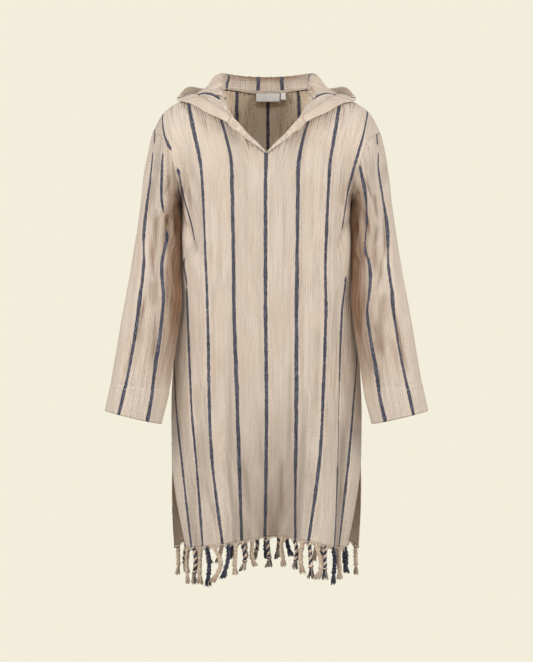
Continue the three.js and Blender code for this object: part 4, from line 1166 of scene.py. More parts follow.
# Where the two stripes of a sleeve's front lie: distance from the middle of the body at heights z.
SLEEVE_STRIPES = {
    1.0: Table("z outer inner", (
        (-60, 223, 172), (-110, 224.7, 180), (-137, 224, 186.4), (-160, 227, 191.5),
        (-187, 231.5, 197.9), (-219, 237, 201.9), (-243, 241, 203.4), (-266, 243.4, 200.7),
        (-288, 244, 198.5), (-308, 244, 199.2), (-330, 243.2, 204.8), (-357, 245, 207.2),
        (-384, 248.8, 205), (-426, 252, 200), (-485, 260, 206.3), (-544, 270.5, 216.8),
        (-603, 283, 225.6), (-645, 292, 235))),
    -1.0: Table("z outer inner", (
        (-60, 226, 206), (-110, 229, 207.5), (-155, 233, 210), (-193, 239, 211.5), (-225, 242.6, 207.5),
        (-250, 245.2, 203), (-284, 247, 201), (-305, 246, 205), (-330, 244.7, 209.4),
        (-365, 246.5, 208), (-392, 249.8, 204.8), (-426, 254, 206.5), (-485, 262, 211.8),
        (-544, 271.5, 221.4), (-603, 284, 228.3), (-645, 294, 236))),
}
# Stretches of a sleeve's stripe that a fold hides or thins: stripe, ends, softness, what stays.
SLEEVE_HIDDEN = {
    1.0: Table("stripe z0 z1 soft stays", (
        (0, -90, -108, 5, 0), (1, -40, -136, 4, 0), (1, -250, -302, 16, 0.4), (0, -300, -338, 12, 0.55))),
    -1.0: Table("stripe z0 z1 soft stays", (
        (0, -86, -106, 5, 0), (1, -40, -112, 4, 0), (1, -226, -266, 18, 0.0), (0, -288, -330, 14, 0.7))),
}
# Troughs on a sleeve's front half, dented into the cloth and painted with shade, in distance from the body's
# middle and height.
SLEEVE_TROUGHS = {
    1.0: Table("x0 z0 x1 z1 width depth", (
        (217, -185, 225, -256, 6.5, 0.75), (224, -244, 215, -305, 6.5, 0.85),
        (215, -285, 219, -365, 8, 0.6), (179, -178, 194, -216, 6, 0.7),
        (181, -205, 178, -300, 5.5, 1.3), (186, -300, 187, -420, 12, 0.75),
        (196, -300, 190, -345, 5, 0.6), (232, -380, 226, -470, 9, 0.5), (214, -430, 228, -540, 9, 0.55),
        (200, -470, 212, -585, 10, 0.6), (247, -470, 262, -560, 8, 0.35),
        (240, -120, 236, -190, 7, 0.3))),
    -1.0: Table("x0 z0 x1 z1 width depth", (
        (222, -215, 225, -345, 7.5, 0.75), (199, -140, 188, -228, 9, 0.65), (182, -205, 178, -300, 6, 1.3),
        (190, -310, 188, -440, 14, 0.85), (232, -150, 236, -230, 6, 0.35), (226, -350, 222, -440, 8, 0.5),
        (205, -215, 198, -262, 6, 0.5), (212, -440, 224, -545, 9, 0.5), (198, -470, 210, -585, 10, 0.6),
        (248, -450, 262, -560, 8, 0.35))),
}
SLEEVE_WAVES = ((27.0, 0.8), (19.0, 0.7), (13.0, 0.5))
# How far the inner side leans against the body at each ring.
SLEEVE_LEAN = Table("t by", ((0, 0.3), (1, 2.6), (2, 3.8), (3, 4.4), (4, 4.4), (5, 4.0), (5.7, 2.6),
                             (6.5, 0), (11, 0)))


@dataclass
class Sleeve:
    """One sleeve: a tube from the armhole to the turned-up cuff."""

    sign: float
    front: Panel
    back: Panel
    shift: float = 0.0                          # how far its creases are turned
    cut: tuple[float, float] = (0.36, 0.56)
    fine: tuple[int, int] = (170, 96)
    surface: Surface = field(init=False)
    cuff_row: int = field(init=False)

    def __post_init__(self) -> None:
        """Works out the sleeve's fine surface."""
        self.surface = self.fine_surface()

    def armhole(self) -> Array:
        """The armhole seam as a closed ring, from the shoulder down the front and up the back."""
        j = -1 if self.sign > 0 else 0
        n = self.front.top_rows
        return np.concatenate((self.front.coarse[:n + 1, j], self.back.coarse[n - 1:0:-1, j]))

    def fine_surface(self) -> Surface:
        """Rings: ellipses through the table's outer and inner points, the first ones drawn to the armhole."""
        rows, cols = self.fine
        t = np.linspace(0, 11, rows)[:, None]
        angle = np.arange(cols) * 360 / cols
        r, first = SLEEVE.at(t), SLEEVE.at(0.0)
        hole = through(self.armhole(), angle / 360 * 2 * self.front.top_rows, closed=True)

        def ring(q: dict[str, Array]) -> Array:
            """Points of an ellipse through the outer and inner points."""
            turn = np.radians(angle)
            return vec(self.sign * ((q["ox"] + q["ix"]) / 2 + np.cos(turn) * (q["ox"] - q["ix"]) / 2),
                       q["y"] - np.sin(turn) * q["d"],
                       (q["oz"] + q["iz"]) / 2 + np.cos(turn) * (q["oz"] - q["iz"]) / 2)

        points = ring(r)
        fade = (1 - np.clip(t / 4, 0, 1)) ** 2
        points = points + (hole - ring(first)) * fade[..., None]
        centre = vec(self.sign * (r["ox"] + r["ix"]) / 2, r["y"], (r["oz"] + r["iz"]) / 2)
        inward = centre - points
        cut = self.folds(SLEEVE_FOLDS, t, angle) * smooth(t / 1.2)
        points = points + unit(inward) * cut[..., None]
        armpit = smooth(1.4 - np.abs(angle - 180) / 54) * smooth(1 - t * 2)
        lean = SLEEVE_LEAN.at(t)["by"] * smooth(1.25 - np.abs(angle - 180) / 60)
        full = 2.6 * bump((t - 2.4) / 1.5) * smooth(1.3 - np.minimum(angle, 360 - angle) / 70)
        points[..., 0] += self.sign * (0.9 * armpit - lean + full)
        place, show = self.stripes(points)
        # The troughs dent the cloth and give painted shade.
        trough = creases(SLEEVE_TROUGHS[self.sign], np.abs(points[..., 0]), points[..., 2])
        trough = trough * smooth((218 - angle) / 30) * smooth(t / 0.8)
        along = arc(points, axis=0)
        surface = Surface(points, np.zeros((rows, cols + 1, 2)), -inward, closed=True)
        surface.uv = np.stack((place, np.concatenate((along, along[:, :1]), axis=1)), axis=-1) * MM
        fine_cut = self.folds(FINE_SLEEVE_FOLDS, t, angle)
        loop = angle / 360 * 330
        relief = ripple(loop * 1.0, along, SLEEVE_WAVES, 21 if self.sign > 0 else 34)
        relief *= bump(((loop + 165) % 330 - 165) / 400) * smooth(t / 0.8)
        calm = 1 - 0.55 * smooth((t - CUFF_T + 0.1) / 0.2)
        hem = 0.9 * smooth((t - CUFF_T) / 0.07)
        groove = -0.5 * bump((t - CUFF_T + 0.03) / 0.05) - 0.45 * bump(t / 0.1)
        dent = 4.2 * trough * smooth((166 - angle) / 24)
        surface.push((relief - fine_cut - dent) * calm * smooth(t / 0.5) + hem + groove)
        gather = 0.75 * np.exp(-t / 1.3) * (0.3 + 0.7 * bump((angle - 125) / 55))
        # Puckers on the inner half, for relief and painted shade.
        gather = np.maximum(gather, 0.5 * bump((angle - 158) / 46) * smooth((10.5 - t) / 3) * smooth(t / 1.5))
        # Painted shade on the inner half, where the sleeve hangs against the body.
        shade = 1.1 * bump((angle - 162) / 44) * smooth(t / 1.2) * smooth((10.6 - t) / 3)
        # Painted shade: hollows, the inner half and the troughs together.
        painted_shade = np.clip(np.maximum(surface.hollows((6, 4), 3.2), np.maximum(shade, trough)), 0, 1.15)
        surface.marks = {"show": show, "gather": gather * np.ones((rows, cols)), "painted_shade": painted_shade}
        self.cuff_row = int(np.searchsorted(t[:, 0], CUFF_T))
        return surface

    def folds(self, table: Table, t: Array, angle: Array) -> Array:
        """Depth of creases: bells along the sleeve and round it that slant as they run."""
        total = np.zeros(np.broadcast(t, angle).shape)
        for f in table.records():
            turn = angle - f["angle"] - self.shift - f["slant"] * (t - f["t"])
            turn = (turn + 540) % 360 - 180
            total = total + f["depth"] * bump((t - f["t"]) / f["along"]) * bump(turn / f["round"])
        return total

    def stripes(self, points: Array) -> tuple[Array, Array]:
        """Place round the sleeve in millimetres, with stripes at whole pitches, and what shows of them.

        Each ring is pinned where its front crosses the two stripes of the table and runs on by its own
        length round the back, where the sleeve seam under the arm ends the cloth.

        Args:
            points: the fine rings.

        Returns:
            The place for one column more than the ring has, and the share shown.
        """
        length = across_warp(points, closed=True)
        half = points.shape[1] // 2 + 1
        front = points[:, :half]
        lines = SLEEVE_STRIPES[self.sign].at(front[..., 2])
        place = np.empty(length.shape)
        for i in range(len(points)):
            pins = []
            for name in ("outer", "inner"):
                passed = np.maximum.accumulate(lines[name][i] - self.sign * front[i, :, 0])
                pins.append(np.interp(0.0, passed, length[i, :half]))
            pins[1] = max(pins[1], pins[0] + 12)
            place[i] = pinned(length[i], np.array(pins), np.array((0.0, PITCH)))
        show = np.ones(points.shape[:2])
        nearest, z = np.round(place[:, :-1] / PITCH), points[..., 2]
        for h in SLEEVE_HIDDEN[self.sign].records():
            inside = smooth((h["z0"] - z) / h["soft"] + 0.5) * smooth((z - h["z1"]) / h["soft"] + 0.5)
            show = np.where(nearest == h["stripe"], show * lerp(1, h["stays"], inside), show)
        return place, show

    def dress(self, finishes: Finishes) -> bpy.types.Object:
        """Makes the piece and stands it for its node."""
        name = "sleeve_left" if self.sign > 0 else "sleeve_right"
        piece = self.surface.build(f"{name}_cloth", finishes.striped)
        settle(piece, name)
        round(self.surface.area(), 3)
        report(piece, self.surface)
        return piece


# ---------------------------------------------------------------- layers on the body
@dataclass
class Skin:
    """The body's cloth as points with directions, for what lies on it."""

    points: Array
    normals: Array

    @classmethod
    def of(cls, surfaces: Iterable[Surface], floor: float = -330.0, step: int = 2) -> "Skin":
        """Takes every second point of the surfaces above a height."""
        pts = [s.points[::step, ::step].reshape(-1, 3) for s in surfaces]
        nor = [s.normals()[::step, ::step].reshape(-1, 3) for s in surfaces]
        points, normals = np.concatenate(pts), np.concatenate(nor)
        keep = points[:, 2] > floor
        return cls(points[keep], normals[keep])

    def lift(self, points: Array, gap: float) -> Array:
        """Moves points out until they are a gap above the nearest cloth.

        The nearest point is the one with the least squared distance, found block by block.

        Args:
            points: any grid of points.
            gap: the height to keep.

        Returns:
            The grid, moved where it lay lower.
        """
        flat = points.reshape(-1, 3).copy()
        own = (self.points ** 2).sum(axis=1)
        for _ in range(3):
            for start in range(0, len(flat), 1500):
                block = flat[start:start + 1500]
                far = own - 2 * block @ self.points.T
                near = far.argmin(axis=1)
                away = far.min(axis=1) + (block ** 2).sum(axis=1)
                height = ((block - self.points[near]) * self.normals[near]).sum(axis=1)
                need = np.where(away < 1600, np.maximum(0, gap - height), 0)
                flat[start:start + 1500] = block + self.normals[near] * need[:, None]
        return flat.reshape(points.shape)


# ---------------------------------------------------------------- hood
# Upright sections through the neck's axis at az degrees from the wearer's side, forward +. From the
# neckline the cloth rises by up to the roll, falls to the pouch's bottom b and comes up to its edge e.
HOOD = Table("az inset start over up roll br bz turn er ez", (
    (53, 3.6, -1, -0.5, 5.5, 2.6, 119, -47, 0.6, 127, -54),
    (44, 3.6, -1, -1, 9, 3.2, 124, -28, 0.8, 135, -42),
    (35, 3.6, -1, -1, 14, 4.5, 130, -14, 1.5, 146, -31),
    (26, 3.6, -0.5, -1, 22, 6, 135, -2, 3, 156, -17), (17, 3.4, 0, 0, 29, 7.5, 141, 6, 4, 166, -6),
    (7, 2.8, 0.5, 1, 34, 9, 148, 10, 6, 182, 2), (-6, 2.2, 1, 2, 36, 10, 152, 9, 10, 182, 18),
    (-20, 1.4, 1.6, 3, 35.5, 10, 148, -18, 13, 176, 42),
    (-36, 0.5, 1.2, 4, 35, 9, 146, -70, 14, 171, 46), (-53, 0, 0.8, 5, 34, 8, 143, -116, 14, 168, 46),
    (-71, 0, 0.8, 5, 33.5, 7, 142, -146, 14, 168, 46), (-90, 0, 0.8, 5, 33, 6, 142, -156, 13, 168, 46)))
HOOD_FOLDS = Table("az v wide high depth", (
    (-24, 0.46, 9, 0.1, 3), (-62, 0.75, 12, 0.12, 9), (-82, 0.84, 6, 0.14, -6), (-44, 0.66, 8, 0.14, -7),
    (-50, 0.88, 7, 0.08, 5), (-70, 0.10, 9, 0.06, 2)))
# Place across the hood's cloth (stripes at whole pitches) at an azimuth, on the two halves.
HOOD_STRIPES = {
    1.0: Table("az place", ((-90, -37), (-66, 0), (-12, 66), (29, 132), (53, 172))),
    -1.0: Table("az place", ((-90, -20), (-77, 0), (-26, 66), (29, 132), (53, 172))),
}
HOOD_WAVES = ((24.0, 0.7), (16.0, 0.6), (11.0, 0.35))
HOOD_BACK = {1.0: 30.0, -1.0: 15.0}   # how far back the middle stripe lies on the pouch
HOOD_TILT = 33.0              # how far forward the stripes start on the roll of the turned-over part
HOOD_FREE = 0.18              # share of a section that stands free inside the neckline
HOOD_FRONT_AZ = 52.5


def neckline(az: Array) -> tuple[Array, Array]:
    """Radius and height of the neck seam at azimuths, read from the panels' upper edges."""
    back = NECK_SHARE * 0.9999 * np.linspace(0, 1, 61)
    edge = np.concatenate((top_point(back, Side.BACK), top_point(back[::-1], Side.FRONT)[1:]))
    angle = np.degrees(np.arctan2(-edge[:, 1], edge[:, 0]))
    return np.interp(az, angle, np.hypot(edge[:, 0], edge[:, 1])), np.interp(az, angle, edge[:, 2])


@dataclass
class HoodHalf:
    """One half of the hood, folded back: stand, roll, pouch and opening edge."""

    sign: float
    skin: Skin
    shift: float = 0.0
    cut: tuple[float, float] = (0.30, 0.36)
    fine: tuple[int, int] = (96, 132)
    surface: Surface = field(init=False)

    def __post_init__(self) -> None:
        """Works out the hood half's surface."""
        self.surface = self.fine_surface()

    def knots(self, az: Array) -> Array:
        """The eleven knots of each section, from the neck seam over the roll to the opening edge."""
        s = HOOD.at(az)
        er, ez = neckline(az)
        rr, rz = er + s["over"], ez + s["up"]
        roll, turn, br, bz = s["roll"], s["turn"], s["br"], s["bz"]
        start_z = ez + s["start"]
        radius = [er - s["inset"], er - s["inset"] - 0.2, rr - roll * 0.95, rr, rr + roll * 1.1,
                  lerp(rr + roll, br - turn, 0.5), br - turn, br, br + turn,
                  lerp(br + turn, s["er"], 0.6), s["er"]]
        height = [start_z, lerp(start_z, rz, 0.35), rz - roll * 0.6, rz, rz - roll * 0.5,
                  lerp(rz - roll, bz, 0.42), bz + turn, bz, bz + turn, lerp(bz, s["ez"], 0.5), s["ez"]]
        a = np.radians(az)[:, None]
        r, z = np.stack(radius, axis=-1), np.stack(height, axis=-1)
        return vec(self.sign * r * np.cos(a), -r * np.sin(a), z)

    def fine_surface(self) -> Surface:
        """Sections joined into the sheet, creased, and lifted off the cloth under it."""
        az = np.linspace(HOOD_FRONT_AZ, -90, self.fine[0])
        v = np.linspace(0, 1, self.fine[1])
        spread = lerp(v, (v * v * (3 - 2 * v)) * 0.25 + v ** 1.35 * 0.75, 0.7)
        points = spline(self.knots(az), spread)
        depth = np.zeros(points.shape[:2])
        for f in HOOD_FOLDS.records():
            bell = bump((az[:, None] - f["az"] - self.shift) / f["wide"])
            depth += f["depth"] * bell * bump((v - f["v"]) / f["high"])
        radial = unit(points * (1, 1, 0))
        points = points - radial * depth[..., None]
        tilt = HOOD_TILT * smooth((az[:, None] + 22) / 26) * smooth((v - 0.42) / 0.58)
        tilt = tilt + HOOD_BACK[self.sign] * smooth((v - 0.38) / 0.2) * bump((az[:, None] + 34) / 20)
        tilt = tilt - 6 * smooth((az[:, None] + 5) / 20) * bump((v - 0.40) / 0.16)
        place = HOOD_STRIPES[self.sign].at(az[:, None] + tilt)["place"]
        along = arc(points, axis=1)
        turned = (v > 0.75)[:, None]
        out = radial * turned + (0, 0, 0.5) * turned
        surface = Surface(points, np.zeros(points.shape[:2] + (2,)), out)
        surface.uv = np.stack(np.broadcast_arrays(place * MM, along * MM), axis=-1)
        relief = ripple(place * 1.35 + along * 0.05, along, HOOD_WAVES, 51 if self.sign > 0 else 77)
        edge = smooth((az[:, None] + 90) / 7) * smooth((along - 8) / 40)
        surface.push(relief * edge - 0.7 * bump((az[:, None] + 90) / 1.2))
        lifted = self.skin.lift(surface.points, LAYER)
        surface.points = lerp(surface.points, lifted, smooth((v - HOOD_FREE + 0.02) / 0.09)[None, :, None])
        surface.points[-1, :, 0] = self.sign * 0.15
        # Puckers along the neck seam, for relief and painted shade.
        gather = 0.15 * bump((v - 0.06) / 0.05)[None, :] * np.ones(points.shape[:2])
        hidden = (np.round(place / PITCH) == 2) * smooth((0.39 - v) / 0.012)
        # Painted shade where the cloth lies below its neighbours.
        surface.marks = {"show": 1 - hidden, "gather": gather, "painted_shade": surface.hollows((4, 6), 4.0)}
        return surface

    def dress(self, finishes: Finishes) -> bpy.types.Object:
        """Makes the piece and stands it for its node."""
        name = "hood_left" if self.sign > 0 else "hood_right"
        piece = self.surface.build(f"{name}_cloth", finishes.striped)
        settle(piece, name)
        round(self.surface.area(), 3)
        report(piece, self.surface)
        return piece


# ---------------------------------------------------------------- neck trim
FACING_WIDTH = Table("k wide", ((0.0, 1.6), (0.15, 6), (0.3, 10.5), (0.5, 17)))


@dataclass
class Facing:
    """Turned-out facing on one side of the neck slit, from the point of the V to the hood."""

    sign: float
    front: Panel
    hood: HoodHalf
    skin: Skin
    stations: int = 7
    cut: tuple[float, float] = (0.03, 0.10)
    fine: tuple[int, int] = (60, 22)
    surface: Surface = field(init=False)

    def __post_init__(self) -> None:
        """Works out the facing's surface."""
        self.surface = self.fine_surface()

    def sections(self) -> Array:
        """Six knots at each station: inside the edge, round it, and out on the panel."""
        k = lerp(0.004, 0.47, (np.arange(self.stations) / self.stations) ** 0.9)
        c = self.sign * NECK_SHARE * k
        row, cols = self.front.coarse[0], self.front.columns
        edge = np.stack([np.interp(c, cols, row[:, n]) for n in range(3)], axis=-1)
        step = self.sign * 0.004
        ahead, behind = (upper_point(at, np.zeros_like(c), Side.FRONT) for at in (c + step, c - step))
        way = unit(ahead - behind)
        down = upper_point(c, np.full_like(c, 0.03), Side.FRONT) - edge
        out = unit(np.cross(way, down))
        out = np.where(out[:, 1:2] > 0, -out, out)
        below = unit(np.cross(out, way))
        below = np.where(below[:, 2:] > 0, -below, below)
        wide = FACING_WIDTH.at(k)["wide"]
        gap = LAYER + 0.6
        plump = lerp(0.35, 1, smooth(k / 0.12))
        places = [(1.2 * plump, -3.3 * plump), (-3.2 * plump, -0.3 * plump), (-0.4 * plump, 3.5 * plump)]
        places += [(wide * t, gap) for t in (0.36, 0.68, 1)]
        knots = np.stack([edge + below * np.reshape(a, (-1, 1)) + out * np.reshape(b, (-1, 1))
                          for a, b in places], axis=1)
        knots[:, 3:] = self.skin.lift(knots[:, 3:], gap)
        seam, follow = self.hood.surface.points[0], self.hood.surface.points[1]
        pick = np.round(np.array([0, 2, 4, 10, 16, 22]) / 22 * (len(seam) - 1)).astype(int)
        last = seam[pick] + unit(seam[pick] - follow[pick]) * 0.4
        return np.concatenate((knots, last[None]))

    def fine_surface(self) -> Surface:
        """The sheet through the sections."""
        knots = self.sections()
        points = refine(knots, np.linspace(0, len(knots) - 1, self.fine[0]), np.linspace(0, 5, self.fine[1]))
        flat = self.skin.lift(points, LAYER)
        keep = np.linspace(0, 5, self.fine[1]) > 3.2
        points = np.where(keep[None, :, None], flat, points)
        out = np.where(keep[:, None], (0.0, -1.0, 0.2), (0.0, 0.0, 0.0))
        surface = Surface(points, np.zeros(points.shape[:2] + (2,)), out)
        surface.uv = np.stack((arc(points, axis=0), arc(points, axis=1)), axis=-1) * MM
        plain = np.zeros(points.shape[:2])
        # No painted shade from hollows; the small gather mark gives relief and a little painted shade.
        surface.marks = {"show": plain, "gather": plain + 0.15, "painted_shade": plain.copy()}
        return surface

    def dress(self, finishes: Finishes) -> bpy.types.Object:
        """Makes the piece and stands it for its node."""
        name = "facing_left" if self.sign > 0 else "facing_right"
        piece = self.surface.build(f"{name}_cloth", finishes.plain, 1.2)
        settle(piece, name)
        round(self.surface.area(), 4)
        report(piece, self.surface)
        return piece


@dataclass
class NeckTape:
    """Tape over the seam inside the back neck, with two blank labels sewn under it."""

    height: float = 8.0
    cut_height: float = 10.0      # a millimetre is turned under along each edge
    half_thick: float = 0.5
    inside: float = 2.1
    inside_ends: float = 4.6
    reach: float = 0.187
    surface: Surface = field(init=False)

    def __post_init__(self) -> None:
        """Works out the tape, which follows the back neckline just inside it."""
        c = np.linspace(-self.reach, self.reach, 80)[None]
        h = np.linspace(0, 1, 5)[:, None]
        p = upper_point(c, np.zeros_like(c), Side.BACK)
        aside = smooth(np.abs(c) / self.reach)
        radial = unit(p * (1, 1, 0))
        points = p - radial * lerp(self.inside, self.inside_ends, aside)[..., None]
        points = points + vec(0, 0, lerp(-4, 1.5, aside) + lerp(self.height, 4, aside) * h)
        self.surface = Surface(points, np.zeros(points.shape[:2] + (2,)), -radial * np.ones_like(points))
        self.surface.uv = np.stack((arc(points, 1), arc(points, 0)), axis=-1) * MM

    def on_tape(self, x: Array) -> tuple[Array, Array]:
        """Points and inward directions on the tape's lower edge at x."""
        row, out = self.surface.points[0], self.surface.normals()[0]
        pick = [np.stack([np.interp(x, row[:, 0], grid[:, k]) for k in range(3)], axis=-1)
                for grid in (row, out)]
        return pick[0], unit(pick[1])

    def label(self, x0: float, x1: float, z0: float, z1: float, thick: float) -> Surface:
        """A blank woven label that hangs from the tape between two x and two z."""
        x = np.linspace(x0, x1, 30)
        p, n = self.on_tape(x)
        p = p + n * (self.half_thick + 0.32 + thick)
        z = np.linspace(z1, z0, 16)[:, None]
        bow = 0.35 * np.sin((x - x0) / (x1 - x0) * math.pi)[None]
        curl = 0.5 * bump((z - z0) / 5) + bow * (z1 - z) / (z1 - z0)
        points = vec(p[None, :, 0], p[None, :, 1] - (z1 - z) * 0.02 - curl, z * np.ones_like(x))
        surface = Surface(points, np.zeros(points.shape[:2] + (2,)), np.array((0.0, -1.0, 0.0)))
        surface.uv = np.stack((arc(points, 1), arc(points, 0)), axis=-1) * MM
        return surface

    def dress(self, finishes: Finishes) -> None:
        """Makes the tape and both labels."""
        tape = self.surface.build("neck_tape_cloth", finishes.tape, 2 * self.half_thick)
        settle(tape, "neck_tape")
        report(tape, self.surface)
        round(float(arc(self.surface.points[0])[-1]) * MM, 3)
        round(self.surface.area() * 1.12, 5)
        for name, span in (("label", (-22, 28, 13.5, 30.5, 0.45)), ("size_tab", (30.4, 41, 17, 31.5, 0.4))):
            cloth = self.label(*span)
            piece = cloth.build(f"{name}_cloth", finishes.satin, 2 * span[-1])
            settle(piece, name)
            report(piece, cloth)


# ---------------------------------------------------------------- fringe
# Tassels of a hem: x at the root, sideways lean and bow, length, dye of the two plies.
FRINGES = {
    Side.FRONT: Table("x lean bow long dye1 dye2", (
        (-158, -2, -3, 74, 0, 0), (-143, -3, 2, 74, 1, 0), (-131, 1, -2, 76, 0, 0), (-117, 2, 2, 80, 1, 1),
        (-101, -3, 6, 74, 0, 0), (-75, -11, 2, 70, 1, 1), (-60, -1, -2, 65, 0, 0), (-46, -3, 3, 60, 1, 0),
        (-29, 9, -3, 56, 0, 0), (1, 2, 2, 62, 1, 0), (33, 2, -3, 60, 0, 0), (57, -1, 2, 62, 1, 0),
        (71, 0, -2, 68, 0, 0), (84, 2, 2, 74, 1, 0), (100, 0, 4, 72, 0, 0), (117, 1, -3, 68, 1, 0),
        (132, 1, 3, 76, 1, 1), (146, 2, -2, 66, 0, 0), (158, 3, 2, 50, 1, 1))),
    Side.BACK: Table("x lean bow long dye1 dye2", (
        (-184, -3, 2, 66, 0, 0), (-168, 2, -3, 70, 1, 0), (-146, -2, 3, 72, 0, 0), (-122, 2, -2, 66, 1, 0),
        (-98, -4, 3, 70, 0, 0), (-72, 2, -2, 66, 1, 1), (-47, 3, 2, 64, 0, 0), (-24, -2, 3, 66, 1, 0),
        (0, 2, -2, 64, 1, 1), (24, -3, 2, 66, 1, 0), (48, 3, -3, 64, 1, 1), (73, -2, 2, 68, 0, 0),
        (98, 2, 3, 66, 0, 0), (122, -3, -2, 70, 1, 0), (146, 2, 2, 66, 0, 0), (168, -2, -3, 72, 1, 1),
        (184, 3, 2, 66, 0, 0))),
}


@dataclass
class Fringe:
    """Knotted tassels along a hem, twisted from two plies, hanging from a rolled edge."""

    panel: Panel
    ply: float = 2.55              # radius of a ply
    turn_height: float = 13.5     # length of one twist
    knot_at: float = 0.66
    brush_hairs: int = 46
    loose_hairs: int = 36
    root_threads: int = 9

    def dress(self, finishes: Finishes) -> bpy.types.Object:
        """Makes the whole fringe as one piece and stands it for its node."""
        side = self.panel.side
        rng = np.random.default_rng(5 if side is Side.FRONT else 6)
        bundle = Bundle()
        hem = self.panel.surface.points[-1]
        out = self.panel.surface.normals()[-1] * (1, 1, 0)
        self.edge(bundle, hem)
        for n, row in enumerate(FRINGES[side].records()):
            root = np.array([np.interp(row["x"], hem[:, 0], hem[:, k]) for k in range(3)])
            facing = unit(np.array([np.interp(row["x"], hem[:, 0], out[:, k]) for k in range(3)]))
            self.tassel(bundle, root, facing, row, 1 if n % 2 else -1, rng)
            self.gather_threads(bundle, root, row, hem, rng)
        name = "front_fringe" if side is Side.FRONT else "back_fringe"
        piece = bundle.build(f"{name}_yarn", finishes.yarn)
        settle(piece, name)
        report(piece)
        return piece

    def edge(self, bundle: Bundle, hem: Array) -> None:
        """Adds the rolled edge: a thin roll under the hem that swells unevenly."""
        along = arc(hem)
        path = hem - (0, 0, 1.7)
        radius = 1.25 + 0.35 * np.sin(along / 5.1) * np.sin(along / 2.3)
        bundle.tube(path, radius, 6, 0.0)

    def tassel(self, bundle: Bundle, root: Array, out: Array, row: dict[str, float], turn: int,
               rng: np.random.Generator) -> None:
        """Adds one tassel: two plies wound round each other, a knot and a brush of hairs.

        The middle line leans and bows; each ply circles it once every twist. The knot is a wide bead
        with a wrap round it, and the hairs spread below it with a slight wave.

        Args:
            bundle: gathers the tubes.
            root: point of the hem.
            out: direction out of the cloth there.
            row: its line of the table.
            turn: direction of the twist.
            rng: source of the small differences.
        """
        side = unit(np.array((-out[1], out[0], 0.0)))
        side = side if side[0] > 0 else -side
        long = row["long"]
        phase = rng.uniform(0, 2 * math.pi)

        def middle(s: Array) -> Array:
            """Points of the middle line at shares of the length."""
            s = np.asarray(s, float)[:, None]
            drop = np.array((0, 0, -1.0)) * (long * s + 0.8)
            bow = row["bow"] * (1.5 * np.sin(math.pi * s) + 0.6 * np.sin(2 * math.pi * s + phase))
            return root + side * (row["lean"] * s + bow * smooth(s * 4)) + drop

        s = np.linspace(0, self.knot_at, int(long * self.knot_at / 1.15))
        angle = turn * 2 * math.pi * s * long / self.turn_height + phase
        swell = 0.8 + 0.2 * smooth(s / 0.15)
        for half, dye in ((0.0, row["dye1"]), (math.pi, row["dye2"])):
            ring = side * np.cos(angle + half)[:, None] + out * np.sin(angle + half)[:, None]
            uneven = 1 + 0.12 * np.sin(angle * 1.7 + phase)
            bundle.tube(middle(s) + ring * (1.95 * swell)[:, None], self.ply * swell * uneven, 7, dye)
        self.knot(bundle, middle, side, out, row, turn)
        for hair in range(self.loose_hairs):
            start, around = rng.uniform(0.05, self.knot_at), rng.uniform(0, 2 * math.pi)
            away = side * math.cos(around) + out * math.sin(around)
            path = middle(start + np.array([0.0, 0.02, 0.06])) + away * np.array([[3.2], [4.6], [5.4]])
            bundle.tube(path, 0.24, 3, row["dye1"] if hair % 2 else row["dye2"])
        for hair in range(self.brush_hairs):
            around = rng.uniform(0, 2 * math.pi)
            spread = rng.uniform(0.3, 1.0) * 5.6
            reach = rng.uniform(0.9, 1.0)
            h = np.linspace(self.knot_at + 0.035, reach, 6)
            t = (h - h[0]) / (h[-1] - h[0])
            fan = side * math.cos(around) + out * math.sin(around) * 0.6
            wave = side * np.sin(t * 5 + phase + hair)[:, None] * 0.6
            path = middle(h) + fan * (2.2 + spread * t ** 0.9)[:, None] + wave
            dye = row["dye1"] if hair % 2 else row["dye2"]
            bundle.tube(path, 1.0 * (1 - 0.35 * t), 3, dye)

    def gather_threads(self, bundle: Bundle, root: Array, row: dict[str, float], hem: Array,
                       rng: np.random.Generator) -> None:
        """Adds the loose warp threads that run from the hem beside a tassel down into its cord.

        Args:
            bundle: gathers the tubes.
            root: point of the hem where the tassel hangs.
            row: its line of the table.
            hem: the hem's points.
            rng: source of the small differences.
        """
        place = self.panel.surface.uv[-1, :len(hem), 0] / MM / PITCH
        t = np.linspace(0, 1, 6)[:, None]
        for k in range(self.root_threads):
            x = root[0] + (k - (self.root_threads - 1) / 2) * 2.5 + rng.uniform(-0.7, 0.7)
            start = np.array([np.interp(x, hem[:, 0], hem[:, n]) for n in range(3)]) - (0, 0, 1.2)
            end = root + (row["lean"] * 0.12 + rng.uniform(-1, 1), rng.uniform(-1, 1), -rng.uniform(8, 12))
            turns = float(np.interp(x, hem[:, 0], place))
            dye = 1.0 if abs(turns - round(turns)) * PITCH < 4.5 else 0.0
            sag = np.sin(t * math.pi) * np.array((0, 0, -1.2))
            bundle.tube(start * (1 - t) + end * t + sag, 0.55, 4, dye)

    def knot(self, bundle: Bundle, middle, side: Array, out: Array, row: dict[str, float], turn: int) -> None:
        """Adds the knot: a bead of both plies with one wrap that slants across it."""
        s = np.linspace(self.knot_at - 0.035, self.knot_at + 0.055, 7)
        belly = np.sin(np.linspace(0.25, math.pi - 0.25, 7))
        bundle.tube(middle(s), 2.0 + 3.1 * belly, 9, row["dye2"])
        around = np.linspace(0, 2 * math.pi, 15)
        centre = middle(np.array([self.knot_at + 0.008]))[0]
        ring = side * np.cos(around)[:, None] * 4.1 + out * np.sin(around)[:, None] * 4.1
        lift = np.array((0, 0, 1.0)) * np.cos(around + turn)[:, None] * 1.8
        bundle.tube(centre + ring + lift, 1.4, 6, row["dye1"])


